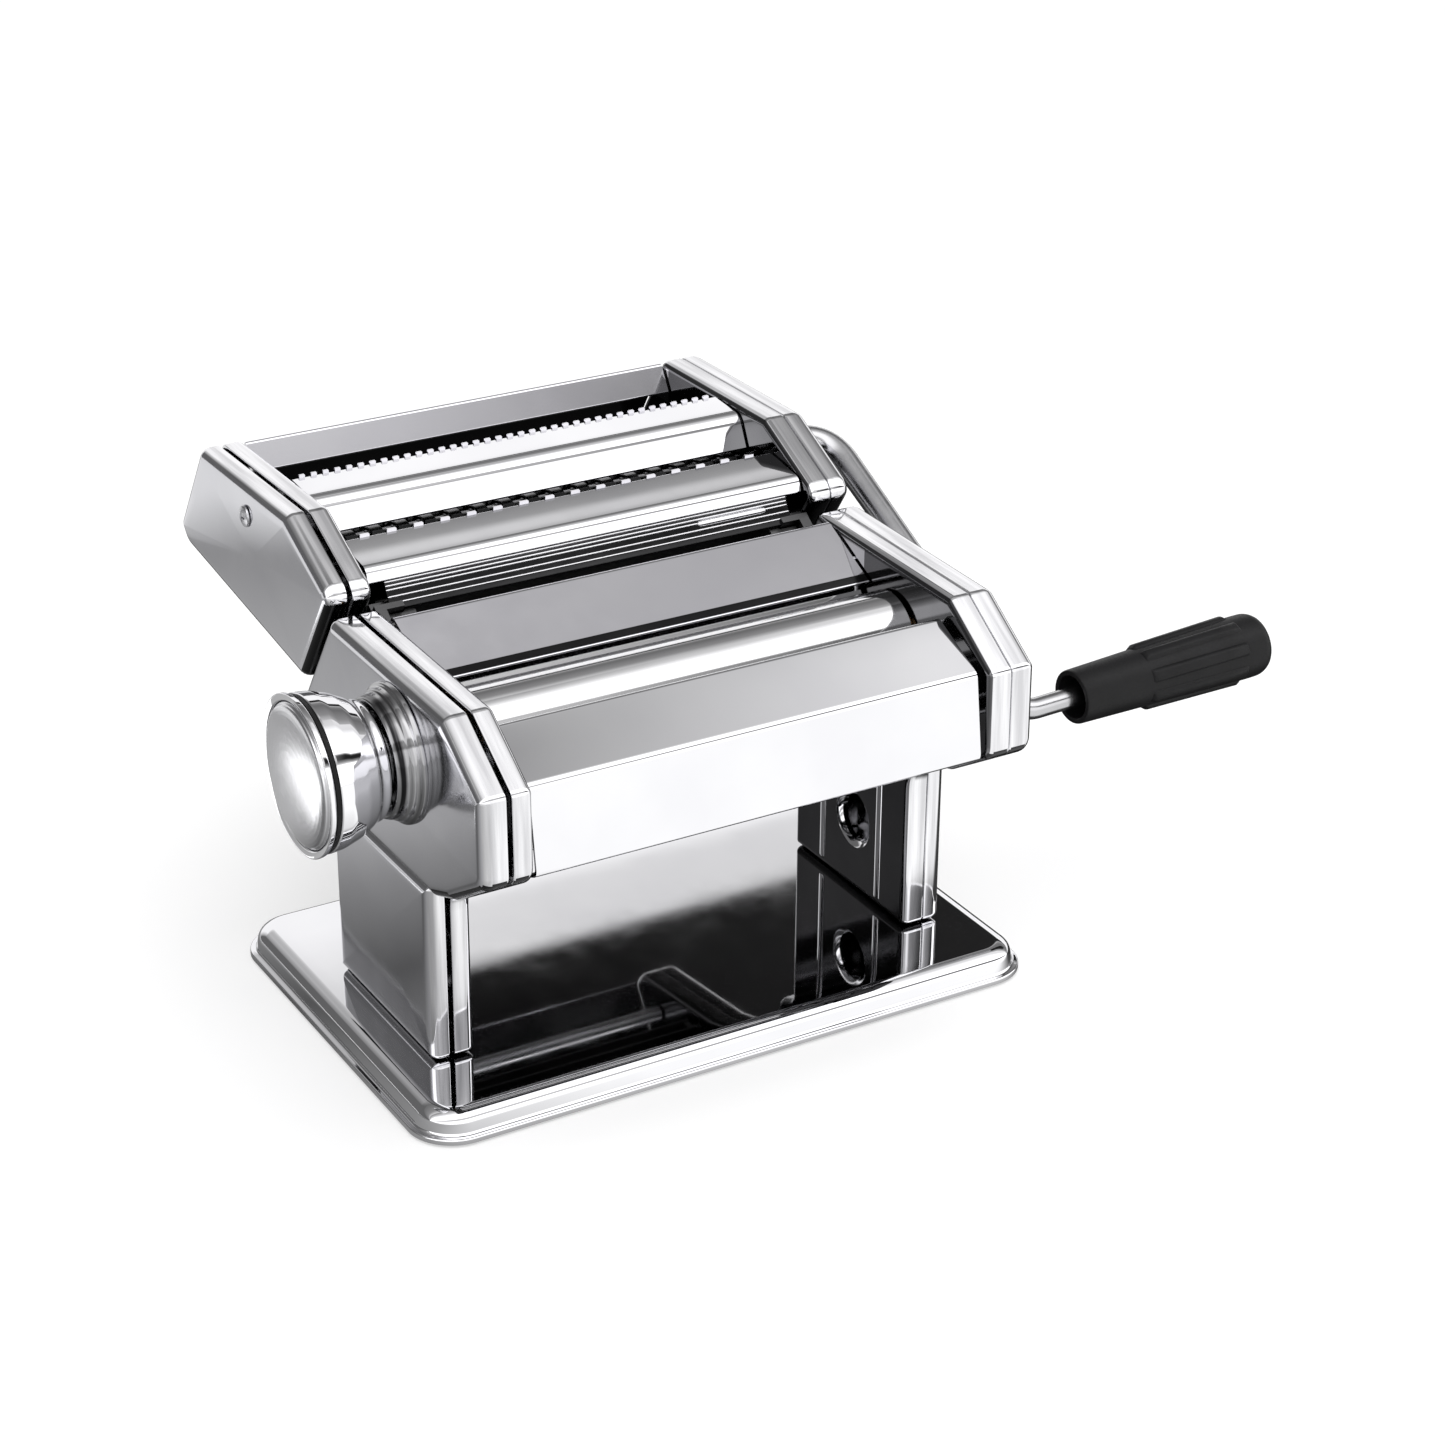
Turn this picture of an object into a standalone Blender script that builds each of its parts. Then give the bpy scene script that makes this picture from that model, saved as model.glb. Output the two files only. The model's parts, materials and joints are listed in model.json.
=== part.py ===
"""Hand-cranked pasta roller machine with a slide-on double cutter.

The machine is drawn about the middle of its base, X to the crank side, Y to the back and
Z up, in metres. The root empty then moves it so that the origin is at the bottom centre
of the whole object's box.
"""
import math

import bmesh
import bpy
from mathutils import Vector

# ---------------------------------------------------------------- driving dimensions
GAP = 0.0004                 # clearance between neighbouring pieces
SHEET = 0.0010               # sheet metal thickness
INNER_X = 0.0760             # inner face of the side frames
SEAM_X = 0.0836              # seam between a side frame and its cover
HEAD_X = 0.0926              # outer face of the head covers
LEG_X = 0.0904               # outer face of the leg covers
CUTTER_X = 0.0913            # outer face of the cutter covers
SPAN_X = INNER_X - 0.0006    # half length of the parts between the side frames
JOURNAL_X = 0.0820           # how far the plain journals reach
GEAR_FACES = (0.0792, 0.0864)    # the gears lie between these planes

BASE_HALF = (0.1065, 0.0720)     # half width and half depth of the base
BASE_CORNER = 0.0150             # corner radius of the base
BASE_TOP = 0.0096                # height of the base's flat top
LEG_FRONT, LEG_REAR = -0.0405, 0.0262
LEG_BOTTOM = BASE_TOP + GAP
HEAD_BOTTOM = 0.0705
CLAMP_HOLE = (-0.0095, 0.0355, 0.0080)   # y, z and radius of the hole in the right leg

ROLLER_R = 0.0140            # smooth rollers
FRONT_ROLLER = (-0.0295, 0.1090)
ROLLER_NIP = 0.0006          # gap between the smooth rollers on the finest setting
REAR_ROLLER = (FRONT_ROLLER[0] + 2 * ROLLER_R + ROLLER_NIP, FRONT_ROLLER[1])
JOURNAL_R = 0.0050

CUTTER_R = 0.0090            # cutting rollers over their rings
CUTTER_PITCH = 0.0170        # distance between the axes of a cutting pair
CUTTER_JOURNAL_R = 0.0040
CUTTER_Z = 0.1300
WIDE_NIP_Y = 0.0520
FINE_NIP_Y = 0.0900
RING_PITCH = 0.0090          # ring pitch of the wide cutter
FINE_PITCH = 0.0040          # tooth pitch of the fine comb
COMB_GAP = 0.0048            # gap between the two blades of a comb

CRANK_ARM_X = 0.1199         # where the crank arm leaves the line of its shank
CRANK_LENGTH = 0.1280
CRANK_DROP = math.radians(27.2)   # how far the arm hangs below level
CRANK_LEAN = math.radians(2.1)    # how far the arm leans outward
SHANK_R = 0.0038
SOCKET_R = 0.0042
GRIP_START, GRIP_END = 0.0200, 0.0970   # along the grip's rod, from the arm's end

KNOB_FACE_X = -0.1262        # outermost point of the regulator knob
KNOB_R = 0.0241
KNOB_RECESS_X = -0.1222      # floor of the recess that holds the knob's cap

SLIDE_ANGLE = math.atan2(0.0341, 0.0235)   # steepness of the rails that carry the cutter

# Corners (y, z, corner radius) of the side outlines, walked anticlockwise.
HEAD_CORNERS = (
    (0.0165, 0.1327, 0.003), (-0.0587, 0.1319, 0.003), (-0.0826, 0.1162, 0.003),
    (-0.0830, 0.0885, 0.006), (-0.0610, 0.0750, 0.006), (-0.0490, HEAD_BOTTOM, 0.003),
    (0.0300, HEAD_BOTTOM, 0.003), (0.0345, 0.0740, 0.003), (0.0383, 0.1010, 0.004))
FRAME_CORNERS = HEAD_CORNERS[:5] + (
    (LEG_FRONT, HEAD_BOTTOM, 0.014), (LEG_FRONT, LEG_BOTTOM, 0.002),
    (LEG_REAR, LEG_BOTTOM, 0.002), (LEG_REAR, HEAD_BOTTOM, 0.003)) + HEAD_CORNERS[7:]
LEG_CORNERS = (
    (LEG_REAR, HEAD_BOTTOM - GAP, 0.002), (LEG_FRONT, HEAD_BOTTOM - GAP, 0.002),
    (LEG_FRONT, LEG_BOTTOM, 0.002), (LEG_REAR, LEG_BOTTOM, 0.002))
CUTTER_CORNERS = (
    (0.1168, 0.1525, 0.004), (0.0497, 0.1534, 0.004), (0.0222, 0.1402, 0.004),
    (0.0190, 0.1360, 0.004), (0.0420, 0.1024, 0.004), (0.1330, 0.1136, 0.008),
    (0.1385, 0.1200, 0.004))

# Bent sheets as (y, z) lines through the middle of the metal.
FRONT_COVER_LINE = (
    (-0.0545, 0.1222), (-0.0565, 0.1246), (-0.0775, 0.1148), (-0.0812, 0.0885), (-0.0760, 0.0862))
HOPPER_LINE = ((-0.0155, 0.1213), (0.0083, 0.1324), (0.0100, 0.1306))
CUTTER_REAR_LINE = ((0.1114, 0.1434), (0.1163, 0.1515), (0.1365, 0.1200))
CUTTER_MIDDLE_LINE = ((0.0795, 0.1510), (0.0645, 0.1500), (0.0598, 0.1405))
CUTTER_FRONT_LINE = ((0.0440, 0.1432), (0.0270, 0.1410), (0.0243, 0.1338))

# ---------------------------------------------------------------- materials
FINISHES = {
    "chrome": ((0.80, 0.80, 0.82), 0.08, 1.0),
    "brushed_steel": ((0.62, 0.62, 0.64), 0.30, 1.0),
    "roller_steel": ((0.75, 0.75, 0.76), 0.15, 1.0),
    "dark_steel": ((0.25, 0.25, 0.26), 0.35, 1.0),
    "bronze": ((0.55, 0.36, 0.16), 0.35, 1.0),
    "black_plastic": ((0.02, 0.02, 0.02), 0.40, 0.0),
    "white_nylon": ((0.80, 0.79, 0.74), 0.45, 0.0),
    "rubber": ((0.03, 0.03, 0.03), 0.80, 0.0),
}


def make_material(name, finish):
    """Return the piece's own Principled material."""
    colour, roughness, metallic = FINISHES[finish]
    material = bpy.data.materials.new(name + "_finish")
    material.use_nodes = True
    shader = material.node_tree.nodes["Principled BSDF"]
    shader.inputs["Base Color"].default_value = (*colour, 1.0)
    shader.inputs["Roughness"].default_value = roughness
    shader.inputs["Metallic"].default_value = metallic
    return material


# ---------------------------------------------------------------- mesh helpers
def add_piece(name, mesh_data, finish, origin=(0.0, 0.0, 0.0)):
    """Link a bmesh as a named object whose origin is at the given point."""
    bmesh.ops.recalc_face_normals(mesh_data, faces=mesh_data.faces)
    bmesh.ops.translate(mesh_data, verts=mesh_data.verts, vec=-Vector(origin))
    mesh = bpy.data.meshes.new(name)
    mesh_data.to_mesh(mesh)
    mesh_data.free()
    mesh.shade_smooth()
    mesh.set_sharp_from_angle(angle=math.radians(35))
    piece = bpy.data.objects.new(name, mesh)
    piece.location = origin
    piece.parent = ROOT
    piece.data.materials.append(make_material(name, finish))
    bpy.context.collection.objects.link(piece)
    return piece


def add_loft(mesh_data, loops, closed=False):
    """Skin a row of equal loops; an open row is capped, a closed row meets itself."""
    rows = [[mesh_data.verts.new(point) for point in loop] for loop in loops]
    pairs = list(zip(rows[:-1], rows[1:]))
    if closed:
        pairs.append((rows[-1], rows[0]))
    for near, far in pairs:
        for index in range(len(near)):
            after = (index + 1) % len(near)
            mesh_data.faces.new((near[index], near[after], far[after], far[index]))
    if not closed:
        mesh_data.faces.new(rows[0][::-1])
        mesh_data.faces.new(rows[-1])


def circle(x, centre, radius, segments):
    """Points of a circle in the plane at x, about a (y, z) centre."""
    turns = [2 * math.pi * step / segments for step in range(segments)]
    return [(x, centre[0] + radius * math.cos(a), centre[1] + radius * math.sin(a)) for a in turns]


def turned(name, centre, profile, finish, segments=24, closed=False):
    """A round piece about an X axis from a profile of (x, radius) points."""
    mesh_data = bmesh.new()
    add_loft(mesh_data, [circle(x, centre, r, segments) for x, r in profile], closed)
    return add_piece(name, mesh_data, finish, (0.0, *centre))


def inset_corners(corners, distance):
    """Move every side of an anticlockwise outline inward by a distance."""
    moved = []
    for index, (y, z, radius) in enumerate(corners):
        before, after = corners[index - 1], corners[(index + 1) % len(corners)]
        first = Vector((y - before[0], z - before[1])).normalized()
        second = Vector((after[0] - y, after[1] - z)).normalized()
        turn = first.cross(second)
        bisector = Vector((-first.y - second.y, first.x + second.x))
        reach = 2 * distance / bisector.length_squared
        point = Vector((y, z)) + bisector * reach
        new_radius = max(radius - math.copysign(distance, turn), 0.0003)
        moved.append((point.x, point.y, new_radius))
    return moved


def round_corners(corners, steps=2):
    """Replace each corner of an outline by a short arc."""
    points = []
    for index, (y, z, radius) in enumerate(corners):
        corner = Vector((y, z))
        before, after = corners[index - 1], corners[(index + 1) % len(corners)]
        back = (Vector(before[:2]) - corner).normalized()
        ahead = (Vector(after[:2]) - corner).normalized()
        half_angle = back.angle(ahead) / 2
        bisector = (back + ahead).normalized()
        centre = corner + bisector * (radius / math.sin(half_angle))
        start = corner + back * (radius / math.tan(half_angle)) - centre
        sweep = start.angle_signed(corner + ahead * (radius / math.tan(half_angle)) - centre)
        for step in range(steps + 1):
            turn = -sweep * step / steps
            cos, sin = math.cos(turn), math.sin(turn)
            spoke = Vector((start.x * cos - start.y * sin, start.x * sin + start.y * cos))
            points.append(tuple(centre + spoke))
    return points


def side_loop(corners, x, distance):
    """The outline drawn at x, moved inward by a distance."""
    return [(x, y, z) for y, z in round_corners(inset_corners(corners, distance))]


def pan(name, corners, rim_x, face_x, finish, edge=0.003):
    """A shallow pressed pan: a flat face at face_x and a rim that ends at rim_x."""
    side = math.copysign(1.0, face_x - rim_x)
    outer = []
    for step in range(3):
        angle = math.radians(90 - 45 * step)
        distance = edge * (1 - math.cos(angle))
        outer.append((face_x - side * edge * (1 - math.sin(angle)), distance))
    outer.append((rim_x, 0.0))
    inner = [(rim_x, SHEET), (face_x - side * edge, SHEET), (face_x - side * SHEET, edge)]
    mesh_data = bmesh.new()
    add_loft(mesh_data, [side_loop(corners, x, distance) for x, distance in outer + inner])
    return add_piece(name, mesh_data, finish)


def sheet_section(line, thickness=SHEET):
    """The closed section of a bent sheet whose middle follows a line of (y, z) points."""
    sides = ([], [])
    for index, point in enumerate(line):
        here = Vector(point)
        before = Vector(line[max(index - 1, 0)])
        after = Vector(line[min(index + 1, len(line) - 1)])
        first = (here - before).normalized() if index else (after - here).normalized()
        second = (after - here).normalized() if index < len(line) - 1 else first
        bisector = Vector((-first.y - second.y, first.x + second.x))
        shift = bisector * (thickness / bisector.length_squared)
        sides[0].append(tuple(here + shift))
        sides[1].append(tuple(here - shift))
    return sides[0] + sides[1][::-1]


def extruded(name, section, x_start, x_end, finish):
    """A (y, z) section carried along X."""
    mesh_data = bmesh.new()
    add_loft(mesh_data, [[(x, y, z) for y, z in section] for x in (x_start, x_end)])
    return add_piece(name, mesh_data, finish)


def add_tube(mesh_data, path, radii, sides):
    """A round bar along a path, with a radius at each point."""
    loops = []
    normal = None
    for index, point in enumerate(path):
        before, after = path[max(index - 1, 0)], path[min(index + 1, len(path) - 1)]
        direction = (after - before).normalized()
        if normal is None:
            normal = direction.orthogonal().normalized()
        normal = (normal - direction * normal.dot(direction)).normalized()
        across = direction.cross(normal)
        turns = [2 * math.pi * step / sides for step in range(sides)]
        loops.append([point + radii[index] * (normal * math.cos(a) + across * math.sin(a)) for a in turns])
    add_loft(mesh_data, loops)


def rod(name, centre, radius):
    """A plain tie rod between the side frames."""
    turned(name, centre, ((-SPAN_X, radius), (SPAN_X, radius)), "brushed_steel", 12)


def upright_mesh(mesh_data, centre, profile, segments):
    """A round upright from a profile of (z, radius) points."""
    loops = []
    for z, radius in profile:
        turns = [2 * math.pi * step / segments for step in range(segments)]
        loops.append([(centre[0] + radius * math.cos(a), centre[1] + radius * math.sin(a), z) for a in turns])
    add_loft(mesh_data, loops)


def combine(pieces, name, mesh_data, operation):
    """Cut a hidden guide's shape out of each piece, or weld it on."""
    guide = add_piece(name, mesh_data, "dark_steel")
    guide.hide_render = True
    guide.display_type = "WIRE"
    for piece in pieces:
        boolean = piece.modifiers.new(name, "BOOLEAN")
        boolean.operation = operation
        boolean.object = guide


def bore(pieces, name, centre, radius, x_start, x_end):
    """Cut a round hole along X through each piece."""
    mesh_data = bmesh.new()
    add_loft(mesh_data, [circle(x, centre, radius, 18) for x in (x_start, x_end)])
    combine(pieces, name, mesh_data, "DIFFERENCE")


# ---------------------------------------------------------------- base and side frames
def base_loop(z, distance):
    """The base's rounded rectangle at a height, moved inward by a distance."""
    half_x, half_y = BASE_HALF
    corners = ((half_x, half_y, BASE_CORNER), (-half_x, half_y, BASE_CORNER),
               (-half_x, -half_y, BASE_CORNER), (half_x, -half_y, BASE_CORNER))
    return [(x, y, z) for x, y in round_corners(inset_corners(corners, distance), 6)]


def build_base():
    """Pressed base: a flat lip, a rolled step and a flat top, hollow underneath."""
    top = BASE_TOP
    upper = ((0.0075, top), (0.0052, top - 0.0004), (0.0034, top - 0.0018),
             (0.0022, top - 0.0046), (0.0018, 0.0024), (0.0, 0.0022), (0.0, 0.0008))
    lower = ((0.0029, 0.0008), (0.0035, top - 0.0052), (0.0046, top - 0.0028),
             (0.0079, top - 0.0012))
    mesh_data = bmesh.new()
    add_loft(mesh_data, [base_loop(z, distance) for distance, z in upper + lower])
    add_piece("base_plate", mesh_data, "chrome")
    underside = top - 0.0012
    for label_y, side_y in (("front", -1), ("rear", 1)):
        for label_x, side_x in (("left", -1), ("right", 1)):
            corner = (side_x * (BASE_HALF[0] - 0.022), side_y * (BASE_HALF[1] - 0.022))
            foot = bmesh.new()
            upright_mesh(foot, corner, ((0.0, 0.0075), (0.001, 0.0085), (underside - GAP, 0.0085)), 16)
            add_piece("%s_%s_foot" % (label_y, label_x), foot, "rubber")


def build_sides():
    """Side frames that run from the base to the head, with their head and leg covers."""
    for label, side in (("left", -1), ("right", 1)):
        frame = pan(label + "_frame_plate", FRAME_CORNERS, side * (SEAM_X - GAP / 2), side * INNER_X,
                    "chrome", 0.002)
        head = pan(label + "_head_cover", HEAD_CORNERS, side * (SEAM_X + GAP / 2), side * HEAD_X, "chrome")
        leg = pan(label + "_leg_cover", LEG_CORNERS, side * (SEAM_X + GAP / 2), side * LEG_X, "chrome")
        bore((frame,), label + "_rear_bush_cutter", REAR_ROLLER, 0.0085, side * 0.070, side * 0.080)
        slot = bmesh.new()
        front, back = FRONT_ROLLER[0] - 0.0130, FRONT_ROLLER[0] + 0.0090
        low, high = FRONT_ROLLER[1] - 0.0092, FRONT_ROLLER[1] + 0.0092
        section = ((front, low), (back, low), (back, high), (front, high))
        add_loft(slot, [[(x, y, z) for y, z in section] for x in (side * 0.070, side * 0.080)])
        combine((frame,), label + "_bush_slot_cutter", slot, "DIFFERENCE")
        if side > 0:
            bore((frame, leg), "clamp_hole_cutter", CLAMP_HOLE[:2], CLAMP_HOLE[2], 0.070, 0.100)
            bore((head,), "main_socket_cutter", REAR_ROLLER, 0.0085, 0.088, 0.098)
        else:
            bore((head,), "regulator_cutter", FRONT_ROLLER, 0.0070, -0.088, -0.098)


# ---------------------------------------------------------------- head sheets and rods
def slide_frame():
    """Directions of the cutter rails: along the slide, and away from the head."""
    along = Vector((0.0, -math.cos(SLIDE_ANGLE), math.sin(SLIDE_ANGLE)))
    away = Vector((0.0, math.sin(SLIDE_ANGLE), math.cos(SLIDE_ANGLE)))
    return along, away


def build_head_sheets():
    """Bent sheets that close the head between the side frames."""
    extruded("front_cover", sheet_section(FRONT_COVER_LINE), -SPAN_X, SPAN_X, "chrome")
    extruded("hopper_plate", sheet_section(HOPPER_LINE), -SPAN_X, SPAN_X, "chrome")
    along, away = slide_frame()
    top = Vector((0.0, *HEAD_CORNERS[0][:2])) - away * 0.0045 - along * 0.0030
    foot = top - along * 0.0350
    lip = foot + Vector((0.0, -0.0060, -0.0030))
    line = [(point.y, point.z) for point in (top, foot, lip)]
    extruded("rear_cover", sheet_section(line), -SPAN_X, SPAN_X, "brushed_steel")

    rod("front_tie_rod", (-0.0660, 0.0980), 0.0030)
    rod("rear_tie_rod", (0.0240, 0.0840), 0.0030)

    scraper_x = SPAN_X - 0.0010
    for name, roller, direction in (("rear_scraper", REAR_ROLLER, 1), ("front_scraper", FRONT_ROLLER, -1)):
        reach = (ROLLER_R + 0.0008) * math.sqrt(0.5)
        tip = (roller[0] + direction * reach, roller[1] - reach)
        tail = (tip[0] + direction * 0.0080, tip[1] - 0.0110)
        extruded(name, sheet_section((tip, tail), 0.0006), -scraper_x, scraper_x, "brushed_steel")


def build_rails():
    """Rails behind the head, and the hooks of the cutter that slide on them."""
    along, away = slide_frame()
    head_top = Vector((0.0, *HEAD_CORNERS[0][:2]))
    head_foot = Vector((0.0, *HEAD_CORNERS[8][:2]))
    middle = (head_top + head_foot) / 2
    edge_x = SPAN_X
    rail = ((edge_x, -0.0034), (edge_x, 0.0035), (0.0660, 0.0035), (0.0660, 0.0015),
            (0.0720, 0.0015), (0.0720, -0.0034))
    hook = ((edge_x, 0.0060), (edge_x, 0.0039), (0.0656, 0.0039), (0.0656, 0.0011),
            (0.0715, 0.0011), (0.0715, -0.0006), (0.0620, -0.0006), (0.0620, 0.0039))
    bracket = hook + tuple((-x, n) for x, n in hook[::-1])

    def along_slide(name, section, half):
        mesh_data = bmesh.new()
        loops = []
        for travel in (-half, half):
            anchor = middle + along * travel
            loops.append([anchor + Vector((x, 0.0, 0.0)) + away * n for x, n in section])
        add_loft(mesh_data, loops)
        add_piece(name, mesh_data, "brushed_steel", middle)

    for label, side in (("left", -1), ("right", 1)):
        along_slide(label + "_mounting_rail", [(side * x, n) for x, n in rail], 0.0150)
    along_slide("cutter_mount_bracket", bracket, 0.0120)


# ---------------------------------------------------------------- smooth rollers
def gear(name, centre, radius, teeth, hub_radius, finish):
    """A spur gear whose teeth stay just clear of its partner's."""
    def outline(x, tip, root):
        points = []
        for step in range(teeth * 4):
            reach = tip if step % 4 in (0, 1) else root
            angle = 2 * math.pi * step / (teeth * 4)
            points.append((x, centre[0] + reach * math.cos(angle), centre[1] + reach * math.sin(angle)))
        return points

    root = max(radius - 0.0022, hub_radius + 0.0008)
    x_start, x_end = GEAR_FACES
    mesh_data = bmesh.new()
    loops = (outline(x_start, radius, root), outline(x_end, radius, root),
             outline(x_end, hub_radius, hub_radius), outline(x_start, hub_radius, hub_radius))
    add_loft(mesh_data, loops, closed=True)
    return add_piece(name, mesh_data, finish, (0.0, *centre))


def build_smooth_rollers():
    """The two smooth rollers, their bushes and their gears."""
    end = SPAN_X - 0.0004
    socket_end = HEAD_X - 0.0006
    turned("rear_roller", REAR_ROLLER,
           ((0.068, SOCKET_R), (socket_end, SOCKET_R), (socket_end, 0.0065), (end, 0.0065),
            (end, ROLLER_R), (-end, ROLLER_R), (-end, JOURNAL_R), (-JOURNAL_X, JOURNAL_R)),
           "roller_steel", 32)
    turned("front_roller", FRONT_ROLLER,
           ((0.0880, JOURNAL_R), (end, JOURNAL_R), (end, ROLLER_R), (-end, ROLLER_R),
            (-end, JOURNAL_R), (-JOURNAL_X, JOURNAL_R)), "roller_steel", 32)
    for name, centre, side, hole in (
            ("left_roller_bush", REAR_ROLLER, -1, JOURNAL_R), ("right_roller_bush", REAR_ROLLER, 1, 0.0065),
            ("left_eccentric_bush", FRONT_ROLLER, -1, JOURNAL_R),
            ("right_eccentric_bush", FRONT_ROLLER, 1, JOURNAL_R)):
        inner = hole + GAP
        start, flange, tip = side * (INNER_X - 0.0002), side * (INNER_X + SHEET + GAP), side * 0.0788
        turned(name, centre, ((start, inner), (start, 0.0081), (flange, 0.0081), (flange, 0.0102),
                              (tip, 0.0102), (tip, inner)), "bronze", 16, closed=True)
    tip_radius = (REAR_ROLLER[0] - FRONT_ROLLER[0]) / 2 - 0.0003
    gear("rear_roller_gear", REAR_ROLLER, tip_radius, 15, 0.0069, "dark_steel")
    gear("front_roller_gear", FRONT_ROLLER, tip_radius, 15, 0.0054, "dark_steel")


# ---------------------------------------------------------------- thickness regulator
def build_regulator():
    """The knob that sets the roller gap, with its collar, shaft, cam and spring."""
    axis = FRONT_ROLLER
    turned("regulator_collar", axis,
           ((-0.0930, 0.0210), (-0.0950, 0.0207), (-0.0985, 0.0182), (-0.1008, 0.0176),
            (-0.1008, 0.0070), (-0.0930, 0.0070)), "chrome", 26, closed=True)
    pin_axis = (axis[0], axis[1] + 0.0130)
    turned("index_pin", pin_axis, ((-0.1012, 0.0013), (-0.1032, 0.0013)), "dark_steel", 10)
    cam_axis = (axis[0] - 0.0012, axis[1])
    shaft = bmesh.new()
    add_loft(shaft, [circle(x, centre, radius, 20) for x, centre, radius in (
        (-0.0828, axis, 0.0040), (-0.0836, axis, 0.0040), (-0.0836, cam_axis, 0.0110),
        (-0.0866, cam_axis, 0.0110), (-0.0866, axis, 0.0040), (-0.1190, axis, 0.0040),
        (-0.1190, axis, 0.0070), (-0.1199, axis, 0.0070))])
    add_piece("regulator_shaft", shaft, "brushed_steel", (0.0, *axis))
    back_x, web_x, groove_x = -0.1018, -0.1058, -0.1045
    rim_x = KNOB_RECESS_X - 0.0014
    turned("knob_body", axis,
           ((back_x, 0.0168), (-0.1030, 0.0186), (-0.1060, 0.0192), (-0.1110, 0.0210),
            (-0.1180, 0.0229), (KNOB_RECESS_X, KNOB_R), (rim_x, 0.0236), (rim_x - 0.0002, 0.0220),
            (KNOB_RECESS_X, 0.0220), (KNOB_RECESS_X, 0.0100), (web_x, 0.0100), (web_x, 0.0044),
            (back_x, 0.0044), (back_x, 0.0110), (groove_x, 0.0110), (groove_x, 0.0150),
            (back_x, 0.0150)), "chrome", 26, closed=True)
    cap_back = KNOB_RECESS_X - GAP
    turned("knob_cap", axis,
           ((cap_back, 0.0104), (cap_back, 0.0215), (rim_x - 0.0003, 0.0215),
            (rim_x - 0.0016, 0.0170), (KNOB_FACE_X, 0.0080)), "chrome", 26)
    spring = bmesh.new()
    turns, coil_r, wire, start = 3.5, 0.0062, 0.0006, -0.1122
    steps = int(turns * 8)
    length = 0.0058
    path = []
    for step in range(steps + 1):
        angle = 2 * math.pi * step / 8
        path.append(Vector((start - length * step / steps, axis[0] + coil_r * math.cos(angle),
                            axis[1] + coil_r * math.sin(angle))))
    add_tube(spring, path, [wire] * len(path), 5)
    add_piece("knob_spring", spring, "brushed_steel", (0.0, *axis))


# ---------------------------------------------------------------- cutter attachment
def pair_centres(nip_y):
    """Axes of the front and the rear roller of a cutting pair."""
    return ((nip_y - CUTTER_PITCH / 2, CUTTER_Z), (nip_y + CUTTER_PITCH / 2, CUTTER_Z))


def drive_axes():
    """Axes that take the crank: the wide pair's rear roller and the fine pair's front one."""
    return pair_centres(WIDE_NIP_Y)[1], pair_centres(FINE_NIP_Y)[0]


def build_cutter_body():
    """The cutter's side frames, covers and sheets."""
    frames = {}
    for label, side in (("left", -1), ("right", 1)):
        frames[side] = pan("cutter_" + label + "_frame", CUTTER_CORNERS, side * (SEAM_X - GAP / 2),
                           side * INNER_X, "chrome", 0.002)
    left_cover = pan("cutter_left_cover", CUTTER_CORNERS, -SEAM_X - GAP / 2, -CUTTER_X, "chrome")
    right_cover = pan("cutter_right_cover", CUTTER_CORNERS, SEAM_X + GAP / 2, CUTTER_X, "chrome")
    for index, centre in enumerate(pair_centres(WIDE_NIP_Y) + pair_centres(FINE_NIP_Y)):
        for side, frame in frames.items():
            label = "left" if side < 0 else "right"
            hole = 0.0072 if side > 0 and centre in drive_axes() else CUTTER_JOURNAL_R + GAP
            bore((frame,), "cutter_%s_journal_cutter_%d" % (label, index), centre, hole,
                 side * 0.070, side * 0.080)
    for kind, centre in zip(("wide", "fine"), drive_axes()):
        bore((right_cover,), kind + "_socket_cutter", centre, 0.0078, 0.086, 0.096)
        inside = CUTTER_X - SHEET - GAP
        lip = CUTTER_X + 0.0006
        turned(kind + "_socket_bush", centre,
               ((0.0884, 0.0064), (0.0884, 0.0092), (inside, 0.0092), (inside, 0.0074),
                (lip, 0.0074), (lip, 0.0064)), "black_plastic", 18, closed=True)

    extruded("cutter_rear_plate", sheet_section(CUTTER_REAR_LINE), -SPAN_X, SPAN_X, "chrome")
    extruded("cutter_middle_plate", sheet_section(CUTTER_MIDDLE_LINE), -SPAN_X, SPAN_X, "chrome")
    extruded("cutter_front_plate", sheet_section(CUTTER_FRONT_LINE), -SPAN_X, SPAN_X, "chrome")

    rod("cutter_front_tie_rod", (0.0380, 0.1165), 0.0025)
    rod("cutter_rear_tie_rod", (0.1180, 0.1230), 0.0025)
    spot = (0.0788, 0.1430)
    for label, side, cover in (("left", -1, left_cover), ("right", 1, right_cover)):
        bore((cover,), label + "_screw_cutter", spot, 0.0019, side * 0.084, side * 0.096)
        face = side * (CUTTER_X + GAP)
        turned("cutter_%s_screw" % label, spot,
               ((face + side * 0.0008, 0.0022), (face + side * 0.0004, 0.0034), (face, 0.0036),
                (face, 0.0015), (side * 0.0790, 0.0015)), "brushed_steel", 12)


def ringed_profile(first_ring):
    """Profile of a roller with square cutting rings, starting at its left journal."""
    ring_half = RING_PITCH / 4 - 0.0002
    groove_r = CUTTER_PITCH - CUTTER_R - GAP
    end = SPAN_X - 0.0014
    profile = [(-JOURNAL_X, CUTTER_JOURNAL_R), (-end, CUTTER_JOURNAL_R), (-end, groove_r)]
    ring_x = first_ring
    while ring_x + ring_half < end - 0.0010:
        profile += [(ring_x - ring_half, groove_r), (ring_x - ring_half, CUTTER_R),
                    (ring_x + ring_half, CUTTER_R), (ring_x + ring_half, groove_r)]
        ring_x += RING_PITCH
    profile.append((end, groove_r))
    return profile


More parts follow.
